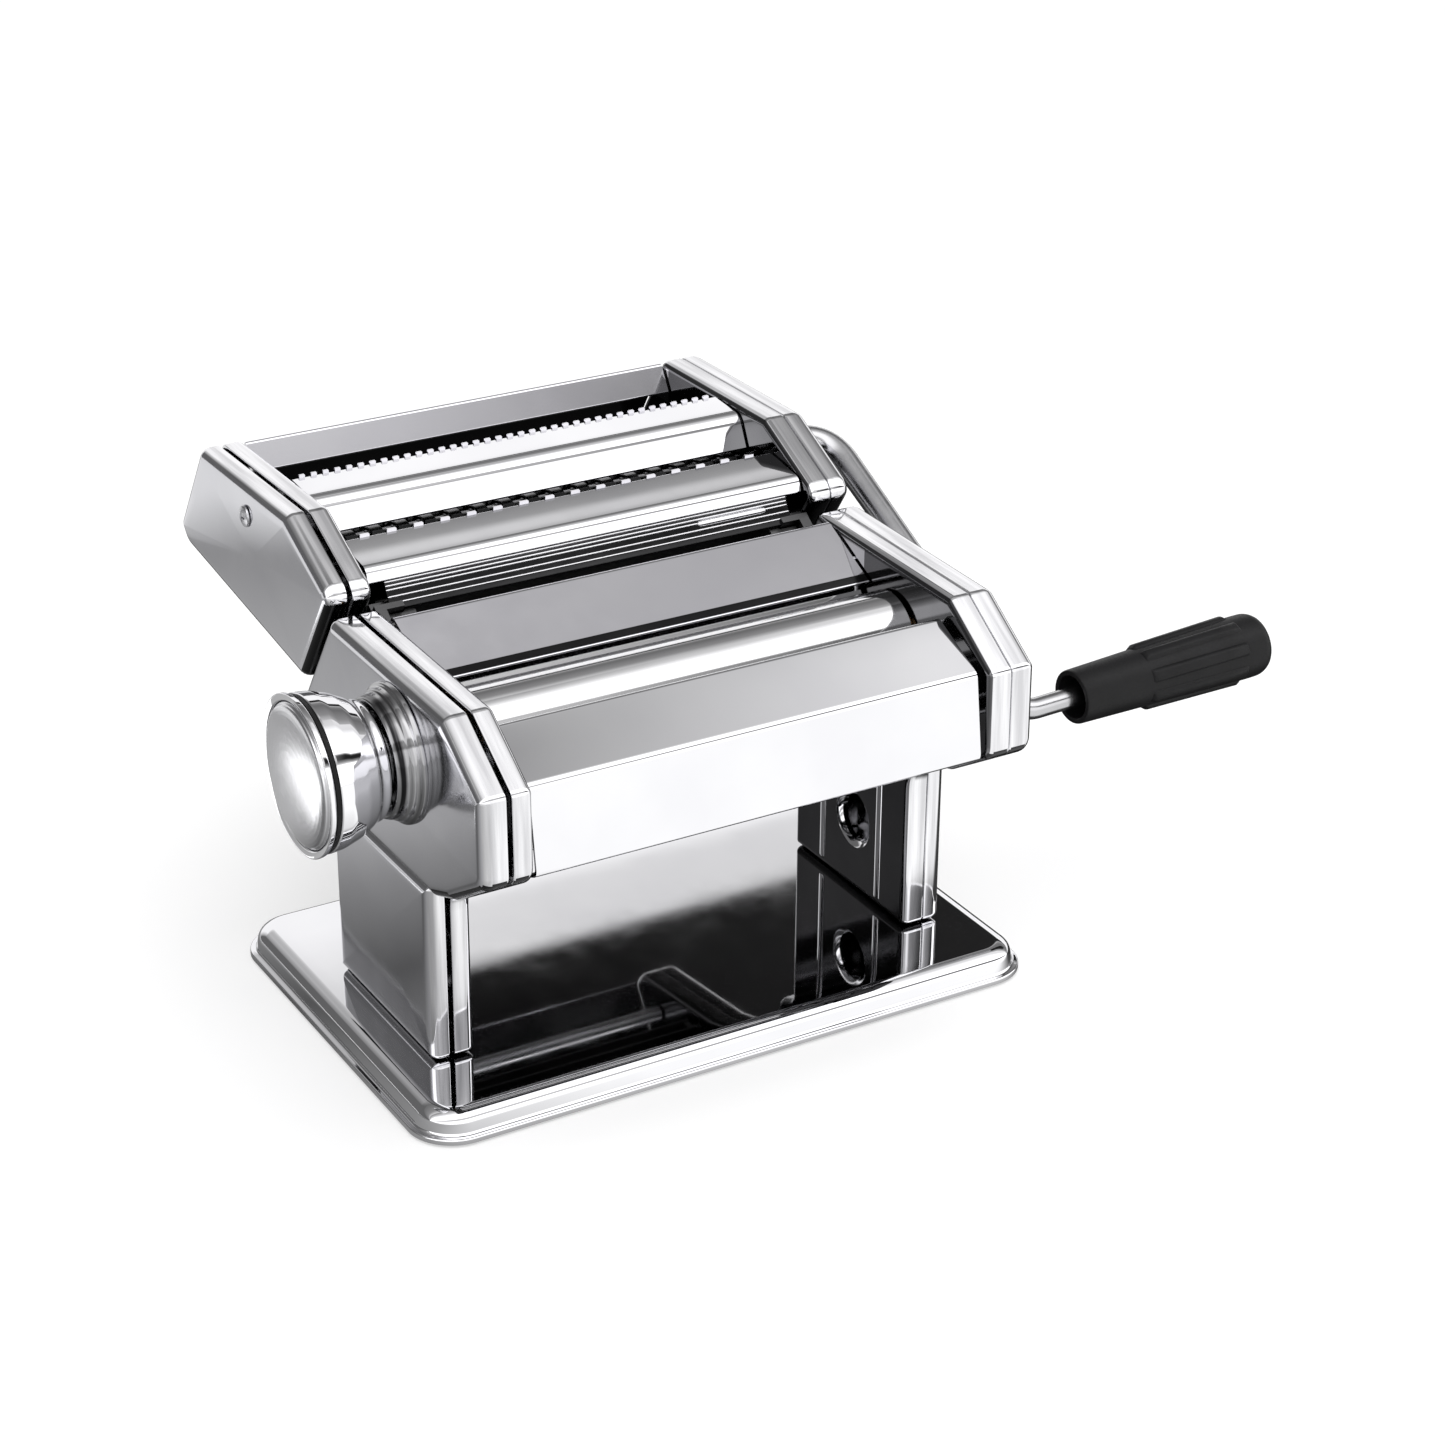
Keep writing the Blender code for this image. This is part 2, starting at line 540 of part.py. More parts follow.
def plain_profile():
    """Profile of a fine roller, drawn over the middle of its shallow rings."""
    end = SPAN_X - 0.0014
    mean_r = CUTTER_PITCH / 2 - 0.0002
    return [(-JOURNAL_X, CUTTER_JOURNAL_R), (-end, CUTTER_JOURNAL_R), (-end, mean_r), (end, mean_r)]


def build_cutting_pairs():
    """Two cutting pairs with their gears and combs."""
    first_ring = -0.0705
    gear_r = CUTTER_PITCH / 2 - 0.0003
    sockets = drive_axes()
    for kind, nip_y in (("wide", WIDE_NIP_Y), ("fine", FINE_NIP_Y)):
        for index, centre in enumerate(pair_centres(nip_y)):
            role = "drive" if centre in sockets else "idle"
            if kind == "wide":
                profile = ringed_profile(first_ring + index * RING_PITCH / 2)
                segments = 12
            else:
                profile = plain_profile()
                segments = 24
            if role == "drive":
                socket_end = CUTTER_X - 0.0003
                profile += [(profile[-1][0], 0.0060), (socket_end, 0.0060), (socket_end, SOCKET_R),
                            (0.0680, SOCKET_R)]
                hub = 0.0064
            else:
                profile += [(profile[-1][0], CUTTER_JOURNAL_R), (0.0870, CUTTER_JOURNAL_R)]
                hub = CUTTER_JOURNAL_R + GAP
            turned("%s_%s_roller" % (kind, role), centre, profile, "roller_steel", segments)
            gear("%s_%s_gear" % (kind, role), centre, gear_r, 10, hub, "white_nylon")


def comb_blade(nip_y, side, pitch, first):
    """A strip under one roller, with fingers that reach up beside the nip."""
    half_finger = pitch / 4 - GAP
    low_z, high_z = CUTTER_Z - 0.0180, CUTTER_Z - 0.0135
    tip_z = CUTTER_Z - 0.0097
    face_y = nip_y + side * COMB_GAP / 2
    back_y = face_y + side * 0.0008
    end = SPAN_X - 0.0020
    count = int((end - half_finger - first) / pitch) + 1
    outline = [(-end, low_z), (end, low_z), (end, high_z)]
    for index in reversed(range(count)):
        finger_x = first + index * pitch
        outline += [(finger_x + half_finger, high_z), (finger_x + half_finger, tip_z),
                    (finger_x - half_finger, tip_z), (finger_x - half_finger, high_z)]
    outline.append((-end, high_z))
    mesh_data = bmesh.new()
    add_loft(mesh_data, [[(x, y, z) for x, z in outline] for y in (face_y, back_y)])
    return mesh_data


def build_combs():
    """One comb for each cutting pair: two blades tied together at their ends."""
    for kind, nip_y, pitch in (("wide", WIDE_NIP_Y, RING_PITCH), ("fine", FINE_NIP_Y, FINE_PITCH)):
        comb = add_piece(kind + "_comb", comb_blade(nip_y, -1, pitch, -0.0700), "brushed_steel")
        parts = [comb_blade(nip_y, 1, pitch, -0.0700 + pitch / 2)]
        for side in (-1, 1):
            tie = bmesh.new()
            low_z = CUTTER_Z - 0.0175
            tie_half = COMB_GAP / 2 + GAP
            section = [(nip_y + y, low_z + z) for y, z in (
                (-tie_half, 0.0), (tie_half, 0.0), (tie_half, 0.0035), (-tie_half, 0.0035))]
            ends = (side * (SPAN_X - 0.0045), side * (SPAN_X - 0.0024))
            add_loft(tie, [[(x, y, z) for y, z in section] for x in ends])
            parts.append(tie)
        for index, mesh_data in enumerate(parts):
            combine((comb,), "%s_comb_part_%d" % (kind, index), mesh_data, "UNION")


# ---------------------------------------------------------------- crank
def build_crank():
    """A bent steel bar: shank in the socket, arm, and the rod that carries the grip."""
    hub_y, hub_z = drive_axes()[1]
    hub = Vector((0.0, hub_y, hub_z))
    out = Vector((1.0, 0.0, 0.0))
    down = Vector((0.0, -math.cos(CRANK_DROP), -math.sin(CRANK_DROP)))
    arm = down * math.cos(CRANK_LEAN) + out * math.sin(CRANK_LEAN)
    rod_way = out * math.cos(CRANK_LEAN) - down * math.sin(CRANK_LEAN)
    shoulder = hub + out * CRANK_ARM_X
    wrist = shoulder + arm * CRANK_LENGTH
    first_bend, second_bend = 0.0140, 0.0060
    path = [hub + out * 0.0700, hub + out * 0.0950]
    radii = [SHANK_R, SHANK_R]
    for corner, before, after, bend, radius in (
            (shoulder, out, arm, first_bend, 0.0046), (wrist, arm, rod_way, second_bend, 0.0035)):
        for step in range(6):
            share = step / 5
            start = corner - before * (bend * (1 - share))
            end = corner + after * (bend * share)
            path.append(start.lerp(end, share))
            radii.append(radius)
    path.append(wrist + rod_way * (GRIP_END - 0.0120))
    radii.append(0.0035)
    mesh_data = bmesh.new()
    add_tube(mesh_data, path, radii, 12)
    add_piece("crank_arm", mesh_data, "chrome", hub)

    bore_r, bore_end = 0.0039, GRIP_END - 0.0100
    grip = turned("crank_grip", (0.0, 0.0),
                  ((bore_end, bore_r), (GRIP_START + 0.0080, bore_r), (GRIP_START + 0.0080, 0.0066),
                   (GRIP_START, 0.0072), (GRIP_START, 0.0084), (GRIP_START + 0.0008, 0.0090),
                   (GRIP_END - 0.0060, 0.0110), (GRIP_END - 0.0022, 0.0104),
                   (GRIP_END - 0.0004, 0.0086), (GRIP_END, 0.0060)), "black_plastic", 24)
    grip.location = wrist
    grip.rotation_mode = "QUATERNION"
    grip.rotation_quaternion = out.rotation_difference(rod_way)


# ---------------------------------------------------------------- assembly
def build():
    """Make every piece, then move the root so that the origin is under the box's middle."""
    build_base()
    build_sides()
    build_head_sheets()
    build_rails()
    build_smooth_rollers()
    build_regulator()
    build_cutter_body()
    build_cutting_pairs()
    build_combs()
    build_crank()
    bpy.context.view_layer.update()
    corners = [piece.matrix_world @ Vector(corner) for piece in ROOT.children if not piece.hide_render
               for corner in piece.bound_box]
    middle = [(min(values) + max(values)) / 2 for values in zip(*corners)]
    ROOT.location = (-middle[0], -middle[1], 0.0)


for old in list(bpy.data.objects):
    bpy.data.objects.remove(old, do_unlink=True)
ROOT = bpy.data.objects.new("machine_root", None)
bpy.context.collection.objects.link(ROOT)
build()
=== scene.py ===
"""Looks of the hand-cranked pasta roller machine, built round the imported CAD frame."""
import json
from math import copysign, cos, pi, radians, sin, sqrt, tan

import bmesh
import bpy
from mathutils import Matrix, Vector


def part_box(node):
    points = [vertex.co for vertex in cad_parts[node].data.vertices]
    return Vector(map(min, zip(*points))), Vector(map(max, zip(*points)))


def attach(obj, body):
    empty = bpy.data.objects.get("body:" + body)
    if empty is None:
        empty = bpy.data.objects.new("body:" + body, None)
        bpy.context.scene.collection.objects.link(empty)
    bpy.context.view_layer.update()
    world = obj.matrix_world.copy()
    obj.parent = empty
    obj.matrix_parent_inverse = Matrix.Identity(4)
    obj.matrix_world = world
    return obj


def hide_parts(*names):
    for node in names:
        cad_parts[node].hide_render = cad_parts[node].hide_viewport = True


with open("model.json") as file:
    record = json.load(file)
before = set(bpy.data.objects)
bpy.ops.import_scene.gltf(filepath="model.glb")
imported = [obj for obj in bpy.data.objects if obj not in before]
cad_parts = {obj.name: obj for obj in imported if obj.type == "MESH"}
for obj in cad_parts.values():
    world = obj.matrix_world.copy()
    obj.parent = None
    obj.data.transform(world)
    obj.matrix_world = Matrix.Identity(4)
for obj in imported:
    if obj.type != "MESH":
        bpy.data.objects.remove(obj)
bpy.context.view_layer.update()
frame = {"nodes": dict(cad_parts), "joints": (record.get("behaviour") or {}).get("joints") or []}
FRAME = "machine_frame"         # the fixed body

# ---------------------------------------------------------------- measures of the frame
_low, _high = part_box("base_plate")
ORIGIN = Vector(((_low.x + _high.x) / 2, (_low.y + _high.y) / 2, 0.0))


def local(node):
    """A CAD node's corners, about the middle of the base."""
    low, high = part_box(node)
    return low - ORIGIN, high - ORIGIN


BASE_HALF = (local("base_plate")[1].x, local("base_plate")[1].y)
BASE_TOP = local("base_plate")[1].z
INNER_X = local("right_frame_plate")[0].x
SEAM_X = (local("right_frame_plate")[1].x + local("right_head_cover")[0].x) / 2
HEAD_X = local("right_head_cover")[1].x
LEG_X = local("right_leg_cover")[1].x
CUTTER_X = local("cutter_right_cover")[1].x
SPAN_X = local("hopper_plate")[1].x
GAP = 0.0004
SEAM_GAP = {"left": 0.0014, "right": 0.0002}
SHEET = 0.0010
BASE_CORNER = 0.0150
LEG_FRONT, LEG_REAR = local("left_leg_cover")[0].y, local("left_leg_cover")[1].y
LEG_BOTTOM = BASE_TOP + GAP
HEAD_BOTTOM = 0.0705
CLAMP_HOLE = (-0.0095, 0.0355)
CLAMP_R = 0.0080
PLATE_CUT = (0.070, 0.080)      # from before to behind an inner plate
SOCKET_HOLE_R = 0.0085
POINT_R = 0.0002                # where a turned shape closes on its axis


def axis_of(node):
    """The (y, z) middle of a round CAD node that lies along X."""
    low, high = local(node)
    return ((low.y + high.y) / 2, (low.z + high.z) / 2)


FRONT_ROLLER = axis_of("front_roller")
REAR_ROLLER = axis_of("rear_roller")
WIDE_IDLE, WIDE_DRIVE = axis_of("wide_idle_roller"), axis_of("wide_drive_roller")
FINE_DRIVE, FINE_IDLE = axis_of("fine_drive_roller"), axis_of("fine_idle_roller")
ROLLER_R = 0.0140
CUTTER_R = 0.0090

# Outlines as (back, up, corner radius), and the lines of bent sheets as (back, up).
HEAD_CORNERS = (
    (0.0165, 0.1327, 0.003), (-0.0587, 0.1319, 0.003), (-0.0826, 0.1162, 0.003),
    (-0.0830, 0.0885, 0.006), (-0.0610, 0.0750, 0.006), (-0.0490, HEAD_BOTTOM, 0.003),
    (0.0300, HEAD_BOTTOM, 0.003), (0.0345, 0.0740, 0.003), (0.0383, 0.1010, 0.004))
FRAME_CORNERS = HEAD_CORNERS[:5] + (
    (LEG_FRONT, HEAD_BOTTOM, 0.014), (LEG_FRONT, LEG_BOTTOM, 0.002),
    (LEG_REAR, LEG_BOTTOM, 0.002), (LEG_REAR, HEAD_BOTTOM, 0.003)) + HEAD_CORNERS[7:]
LEG_TOP = HEAD_BOTTOM - 0.0012
LEG_CORNERS = (
    (LEG_REAR, LEG_TOP, 0.002), (LEG_FRONT, LEG_TOP, 0.002),
    (LEG_FRONT, LEG_BOTTOM, 0.002), (LEG_REAR, LEG_BOTTOM, 0.002))
CUTTER_CORNERS = (
    (0.1168, 0.1525, 0.004), (0.0497, 0.1534, 0.004), (0.0222, 0.1402, 0.004),
    (0.0190, 0.1360, 0.004), (0.0420, 0.1024, 0.004), (0.1330, 0.1136, 0.008),
    (0.1385, 0.1200, 0.004))
FRONT_COVER_LINE = (
    (-0.0545, 0.1222), (-0.0565, 0.1246), (-0.0775, 0.1148), (-0.0812, 0.0885), (-0.0760, 0.0862))
HOPPER_LINE = ((-0.0155, 0.1213), (0.0083, 0.1324), (0.0100, 0.1306))
CUTTER_REAR_LINE = ((0.1114, 0.1434), (0.1163, 0.1515), (0.1365, 0.1200))
CUTTER_MIDDLE_LINE = ((0.0795, 0.1510), (0.0645, 0.1500), (0.0598, 0.1405))
CUTTER_FRONT_LINE = ((0.0440, 0.1432), (0.0270, 0.1410), (0.0243, 0.1338))


# ---------------------------------------------------------------- materials
def shader_material(name):
    """A new material with its nodes, its links and its main shader."""
    material = bpy.data.materials.new(name)
    material.use_nodes = True
    nodes, links = material.node_tree.nodes, material.node_tree.links
    return material, nodes, links, nodes["Principled BSDF"]


EVEN = (1.0, 1.0, 1.0)
BRUSHED_ALONG_X = (0.03, 1.0, 1.0)


def set_node(nodes, kind, **values):
    """A shader node with plain values in its inputs; From_Min is From Min."""
    node = nodes.new("ShaderNode" + kind)
    for socket, value in values.items():
        node.inputs[socket.replace("_", " ")].default_value = value
    return node


def noise(nodes, links, scale, detail, stretch=EVEN):
    """A noise texture in the object's own coordinates, stretched along its axes."""
    coords = nodes.new("ShaderNodeTexCoord")
    mapping = set_node(nodes, "Mapping", Scale=stretch)
    texture = set_node(nodes, "TexNoise", Scale=scale, Detail=detail)
    links.new(coords.outputs["Object"], mapping.inputs["Vector"])
    links.new(mapping.outputs["Vector"], texture.inputs["Vector"])
    return texture


def ramp(nodes, links, source, low, high, start=0.35, end=0.65):
    """Map a texture's factor to a range of numbers."""
    scaled = set_node(nodes, "MapRange", From_Min=start, From_Max=end, To_Min=low, To_Max=high)
    links.new(source, scaled.inputs["Value"])
    return scaled.outputs["Result"]


def tint(nodes, links, source, dark, light):
    """Blend two colours by a texture's factor."""
    mix = nodes.new("ShaderNodeMix")
    mix.data_type = "RGBA"
    links.new(ramp(nodes, links, source, 0.0, 1.0), mix.inputs["Factor"])
    mix.inputs["A"].default_value = (*dark, 1.0)
    mix.inputs["B"].default_value = (*light, 1.0)
    return mix.outputs["Result"]


def bump(nodes, links, shader, source, distance, strength):
    """Let a texture's factor raise and lower the surface."""
    node = set_node(nodes, "Bump", Distance=distance, Strength=strength)
    links.new(source, node.inputs["Height"])
    links.new(node.outputs["Normal"], shader.inputs["Normal"])


def metal(name, dark, light, rough, grain_scale, stretch=EVEN, wave=0.0, cloud_scale=26.0,
          cloud_stretch=EVEN):
    """A metal with two tones blended by a cloudy noise, a range of roughness, and a faint wave or
    grain. On several materials below, the two tones are painted reflection and painted shade.
    """
    material, nodes, links, shader = shader_material(name)
    shader.inputs["Metallic"].default_value = 1.0
    cloud = noise(nodes, links, cloud_scale, 3.0, cloud_stretch)
    links.new(tint(nodes, links, cloud.outputs["Fac"], dark, light), shader.inputs["Base Color"])
    grain = noise(nodes, links, grain_scale, 4.0, stretch)
    links.new(ramp(nodes, links, grain.outputs["Fac"], *rough), shader.inputs["Roughness"])
    if wave:
        bump(nodes, links, shader, grain.outputs["Fac"], wave, 0.35)
    return material


def plastic(name, dark, light, rough, pebble, depth, gloss=0.5):
    """A moulded plastic or rubber with a fine pebbled skin."""
    material, nodes, links, shader = shader_material(name)
    shader.inputs["Specular IOR Level"].default_value = gloss
    cloud = noise(nodes, links, 60.0, 3.0)
    links.new(tint(nodes, links, cloud.outputs["Fac"], dark, light), shader.inputs["Base Color"])
    skin = noise(nodes, links, pebble, 3.0)
    links.new(ramp(nodes, links, skin.outputs["Fac"], *rough), shader.inputs["Roughness"])
    bump(nodes, links, shader, skin.outputs["Fac"], depth, 0.4)
    return material


CHROME = metal("chrome", (0.76, 0.76, 0.78), (0.80, 0.80, 0.815), (0.022, 0.036), 90.0)
# Painted reflection: light and dark streaks in the colour of the pans' rims and rounded edges, standing
# for what their small curves mirror.
RIM_REFLECTION_CHROME = metal("rim_painted_reflection_chrome", (0.57, 0.57, 0.585), (0.82, 0.82, 0.835), (0.04, 0.10), 90.0,
                   cloud_scale=420.0, cloud_stretch=(1.0, 0.05, 0.05))
# Painted reflection and shade: near-black to grey rings in the colour, standing for the dark and bright
# bands that the regulator collar mirrors.
BANDED_REFLECTION_CHROME = metal("painted_reflection_bands_chrome", (0.015, 0.015, 0.016), (0.52, 0.52, 0.53), (0.08, 0.16), 90.0,
                      cloud_scale=330.0, cloud_stretch=(1.0, 0.03, 0.03))
COVER_CHROME = metal("cover_chrome", (0.66, 0.66, 0.69), (0.71, 0.71, 0.735), (0.10, 0.15), 60.0)
HOPPER_CHROME = metal("hopper_chrome", (0.66, 0.655, 0.69), (0.70, 0.695, 0.725), (0.09, 0.14), 60.0)
ROLLER_STEEL = metal("roller_steel", (0.74, 0.74, 0.75), (0.79, 0.79, 0.80), (0.06, 0.11), 700.0,
                     (0.04, 1.0, 1.0))
# Painted shade: the cutting rings are near black, standing for the shade in the cutter's slots.
SHADED_RING_STEEL = metal("ring_painted_shade_steel", (0.030, 0.030, 0.031), (0.060, 0.060, 0.062), (0.16, 0.26), 500.0)
SPUN_CHROME = metal("spun_chrome", (0.66, 0.66, 0.68), (0.74, 0.74, 0.76), (0.19, 0.25), 400.0)
# Painted dark reflection and shade: a dark chrome for the inner plates' faces, in place of the dark
# surroundings they mirror. The real plates are the same polished steel as their rims.
DARK_REFLECTION_CHROME = metal("painted_dark_reflection_chrome", (0.11, 0.11, 0.115), (0.16, 0.16, 0.165), (0.06, 0.10), 120.0)
# Painted shade: a near-black steel for undersides, the inner sides of bent sheets and gaps, where shade
# falls.
SHADE_STEEL = metal("painted_shade_steel", (0.022, 0.022, 0.023), (0.036, 0.036, 0.037), (0.14, 0.22), 300.0)
BRUSHED = metal("brushed_steel", (0.50, 0.50, 0.52), (0.64, 0.64, 0.66), (0.22, 0.38), 900.0,
                BRUSHED_ALONG_X, 0.00002)
GEAR_STEEL = metal("gear_steel", (0.20, 0.20, 0.21), (0.32, 0.32, 0.33), (0.28, 0.45), 300.0,
                   wave=0.00003)
CRANK_STEEL = metal("crank_steel", (0.42, 0.42, 0.43), (0.52, 0.52, 0.53), (0.16, 0.24), 300.0)
# Painted shade: a dark steel for the pieces inside the machine, standing for the shade there.
INSIDE_SHADE_STEEL = metal("dark_steel", (0.07, 0.07, 0.072), (0.12, 0.12, 0.122), (0.28, 0.42), 900.0,
                   BRUSHED_ALONG_X, 0.00002)
BRONZE = metal("bearing_bronze", (0.42, 0.26, 0.12), (0.58, 0.39, 0.19), (0.28, 0.42), 240.0,
               wave=0.00002)
BLACK_PLASTIC = plastic("black_plastic", (0.003, 0.003, 0.0033), (0.006, 0.006, 0.0065), (0.42, 0.56),
                        1500.0, 0.00004, 0.22)
NYLON = plastic("white_nylon", (0.72, 0.70, 0.64), (0.82, 0.80, 0.75), (0.38, 0.52), 900.0, 0.00003)
RUBBER = plastic("black_rubber", (0.014, 0.014, 0.014), (0.032, 0.032, 0.031), (0.62, 0.82), 1100.0,
                 0.00006)


# ---------------------------------------------------------------- mesh helpers
def finish_piece(shape, name, material, body, nodes=(), sharp=32.0, weighted=True):
    """Turn a bmesh into a piece of the model that rides on a body and stands for CAD nodes."""
    bmesh.ops.recalc_face_normals(shape, faces=shape.faces)
    bmesh.ops.translate(shape, verts=shape.verts, vec=ORIGIN)
    mesh = bpy.data.meshes.new(name)
    shape.to_mesh(mesh)
    shape.free()
    mesh.shade_smooth()
    mesh.set_sharp_from_angle(angle=radians(sharp))
    mesh.materials.append(material)
    piece = bpy.data.objects.new(name, mesh)
    bpy.context.collection.objects.link(piece)
    if weighted:
        normals = piece.modifiers.new("flat_faces", "WEIGHTED_NORMAL")
        normals.keep_sharp = True
        normals.weight = 80
    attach(piece, body)
    if nodes:
        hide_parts(*nodes)
    return piece


def add_loft(shape, loops, closed=False):
    """Skin a row of loops; the ends are capped, or joined to each other when closed."""
    rows = [[shape.verts.new(point) for point in loop] for loop in loops]
    pairs = list(zip(rows[:-1], rows[1:]))
    if closed:
        pairs.append((rows[-1], rows[0]))
    for near, far in pairs:
        for index in range(len(near)):
            after = (index + 1) % len(near)
            shape.faces.new((near[index], near[after], far[after], far[index]))
    if not closed:
        shape.faces.new(rows[0][::-1])
        shape.faces.new(rows[-1])


def circle(x, centre, radius, segments):
    """A loop about an X axis."""
    turns = [2 * pi * step / segments for step in range(segments)]
    return [(x, centre[0] + radius * cos(a), centre[1] + radius * sin(a)) for a in turns]


def rounded(profile, radius, steps=4):
    """Round the inner points of an open (a, b) line with small arcs."""
    points = [tuple(profile[0])]
    for index in range(1, len(profile) - 1):
        corner = Vector(profile[index])
        back, ahead = Vector(profile[index - 1]) - corner, Vector(profile[index + 1]) - corner
        reach = radius[index] if isinstance(radius, (list, tuple)) else radius
        reach = min(reach, 0.45 * back.length, 0.45 * ahead.length)
        if reach < 1e-6:
            points.append(tuple(corner))
            continue
        start, end = corner + back.normalized() * reach, corner + ahead.normalized() * reach
        for step in range(steps + 1):
            t = step / steps
            near, far = start.lerp(corner, t), corner.lerp(end, t)
            points.append(tuple(near.lerp(far, t)))
    points.append(tuple(profile[-1]))
    return points


def turned(name, centre, profile, material, body, nodes=(), segments=96, closed=False,
           radius=0.0004, steps=3):
    """A round piece about an X axis, with its profile's corners rounded."""
    shape = bmesh.new()
    line = rounded(profile, radius, steps) if not closed else list(profile)
    add_loft(shape, [circle(x, centre, r, segments) for x, r in line], closed)
    finish_piece(shape, name, material, body, nodes)


def inset_corners(corners, distance):
    """The same outline, moved inwards with its corner radii."""
    moved = []
    for index, (y, z, radius) in enumerate(corners):
        before, after = corners[index - 1], corners[(index + 1) % len(corners)]
        first = Vector((y - before[0], z - before[1])).normalized()
        second = Vector((after[0] - y, after[1] - z)).normalized()
        turn = first.cross(second)
        bisector = Vector((-first.y - second.y, first.x + second.x))
        point = Vector((y, z)) + bisector * (2 * distance / bisector.length_squared)
        moved.append((point.x, point.y, max(radius - copysign(distance, turn), 0.0003)))
    return moved


def round_corners(corners, steps=8):
    """An outline's points, with an arc at each corner."""
    points = []
    for index, (y, z, radius) in enumerate(corners):
        corner = Vector((y, z))
        before, after = corners[index - 1], corners[(index + 1) % len(corners)]
        back = (Vector(before[:2]) - corner).normalized()
        ahead = (Vector(after[:2]) - corner).normalized()
        half_angle = back.angle(ahead) / 2
        centre = corner + (back + ahead).normalized() * (radius / sin(half_angle))
        start = corner + back * (radius / tan(half_angle)) - centre
        sweep = start.angle_signed(corner + ahead * (radius / tan(half_angle)) - centre)
        for step in range(steps + 1):
            turn = -sweep * step / steps
            points.append((centre.x + start.x * cos(turn) - start.y * sin(turn),
                           centre.y + start.x * sin(turn) + start.y * cos(turn)))
    return points


def side_loop(corners, x, distance):
    """An outline, inset and rounded, in the plane at x."""
    return [(x, y, z) for y, z in round_corners(inset_corners(corners, distance))]


SHADE_SLOT, FACE = 1, 2              # a piece's second and third material: its painted shade, its face
EDGE_STEPS = 7
CROWN_RINGS = (0.94, 0.85, 0.72, 0.55, 0.35, 0.15)
FACE_DEPTH = 0.0009             # how much of the rounded edge goes with the face
FACE_FLAT = 0.0001              # nearer than this to the face's plane counts as flat


def pan(name, corners, rim_x, face_x, material, body, nodes, edge=0.003, crown=0.0, face=None,
        shaded=-0.3, front_of=1.0, below=1.0):
    """A pressed pan: a rounded edge round a slightly crowned face, and a rim that ends at rim_x.

    What faces down, by a normal below `shaded`, gets painted shade. The material `face` covers the
    nearest part of the edge, and the flat face where it is in front of one place or below another."""
    side = copysign(1.0, face_x - rim_x)
    outer = [(rim_x, 0.0006), (rim_x + side * 0.0002, 0.0002), (rim_x + side * 0.0006, 0.0)]
    for step in range(EDGE_STEPS + 1):
        angle = radians(90 * step / EDGE_STEPS)
        outer.append((face_x - side * edge * (1 - sin(angle)), edge * (1 - cos(angle))))
    loops = [side_loop(corners, x, distance) for x, distance in outer]
    if crown:
        brim = loops[-1]
        centre = Vector((sum(p[1] for p in brim) / len(brim), sum(p[2] for p in brim) / len(brim)))
        for scale in CROWN_RINGS:
            lift = side * crown * (1 - scale * scale)
            loops.append([(face_x + lift, centre.x + (y - centre.x) * scale,
                           centre.y + (z - centre.y) * scale) for _, y, z in brim])
    inner = [(face_x - side * SHEET, edge), (face_x - side * edge, SHEET), (rim_x, SHEET)]
    back = [side_loop(corners, x, distance) for x, distance in inner]
    shape = bmesh.new()
    add_loft(shape, back + loops)
    bmesh.ops.recalc_face_normals(shape, faces=shape.faces)
    if face:
        for spot, way in (((0, front_of, 0), (0, 1, 0)), ((0, 0, below), (0, 0, 1))):
            bmesh.ops.bisect_plane(shape, plane_co=spot, plane_no=way,
                                   geom=shape.verts[:] + shape.edges[:] + shape.faces[:])
    for polygon in shape.faces:
        middle = polygon.calc_center_median()
        away = abs(middle.x - face_x)
        at_face = away < FACE_DEPTH and (away > FACE_FLAT or middle.y < front_of or middle.z < below)
        # Painted shade on what faces down.
        if polygon.normal.z < shaded:
            polygon.material_index = SHADE_SLOT
        elif face and at_face:
            polygon.material_index = FACE
    piece = finish_piece(shape, name, material, body, nodes)
    piece.data.materials.append(SHADE_STEEL)
    if face:
        piece.data.materials.append(face)
    return piece


def sheet_loops(line, thickness):
    """Closed section of a bent sheet with round edges."""
    sides = ([], [])
    for index, point in enumerate(line):
        here = Vector(point)
        before = Vector(line[max(index - 1, 0)])
        after = Vector(line[min(index + 1, len(line) - 1)])
        along = (after - before).normalized()
        across = Vector((-along.y, along.x)) * thickness / 2
        sides[0].append(here + across)
        sides[1].append(here - across)
    section = list(sides[0])
    for end in (-1, 0):
        tip, inner = Vector(line[end]), Vector(line[end - 1 if end else 1])
        along = (tip - inner).normalized() * thickness / 2
        across = Vector((-along.y, along.x))
        if end == 0:
            section += sides[1][::-1]
        for turn in (pi / 4, 0.0, -pi / 4):
            section.append(tip + across * sin(turn) + along * cos(turn))
    return [(p.x, p.y) for p in section]


def bent_sheet(name, line, bends, material, body, nodes, thickness=SHEET, half=SPAN_X, trim=0.0):
    """A bent sheet along X with rounded bends, with painted shade on its inner side, trimmed at its
    right end.
    """
    smooth = rounded(line, bends, 8)
    section = sheet_loops(smooth, thickness)
    shape = bmesh.new()
    add_loft(shape, [[(x, y, z) for y, z in section] for x in (-half, half - trim)])
    shape.faces.ensure_lookup_table()
    first_inner = 0 if line[0][0] > line[-1][0] else len(section) // 2
    # Painted shade on the sheet's inner side.
    for index in range(first_inner, first_inner + len(smooth) - 1):
        shape.faces[index].material_index = SHADE_SLOT
    piece = finish_piece(shape, name, material, body, nodes)
    piece.data.materials.append(SHADE_STEEL)
    return piece


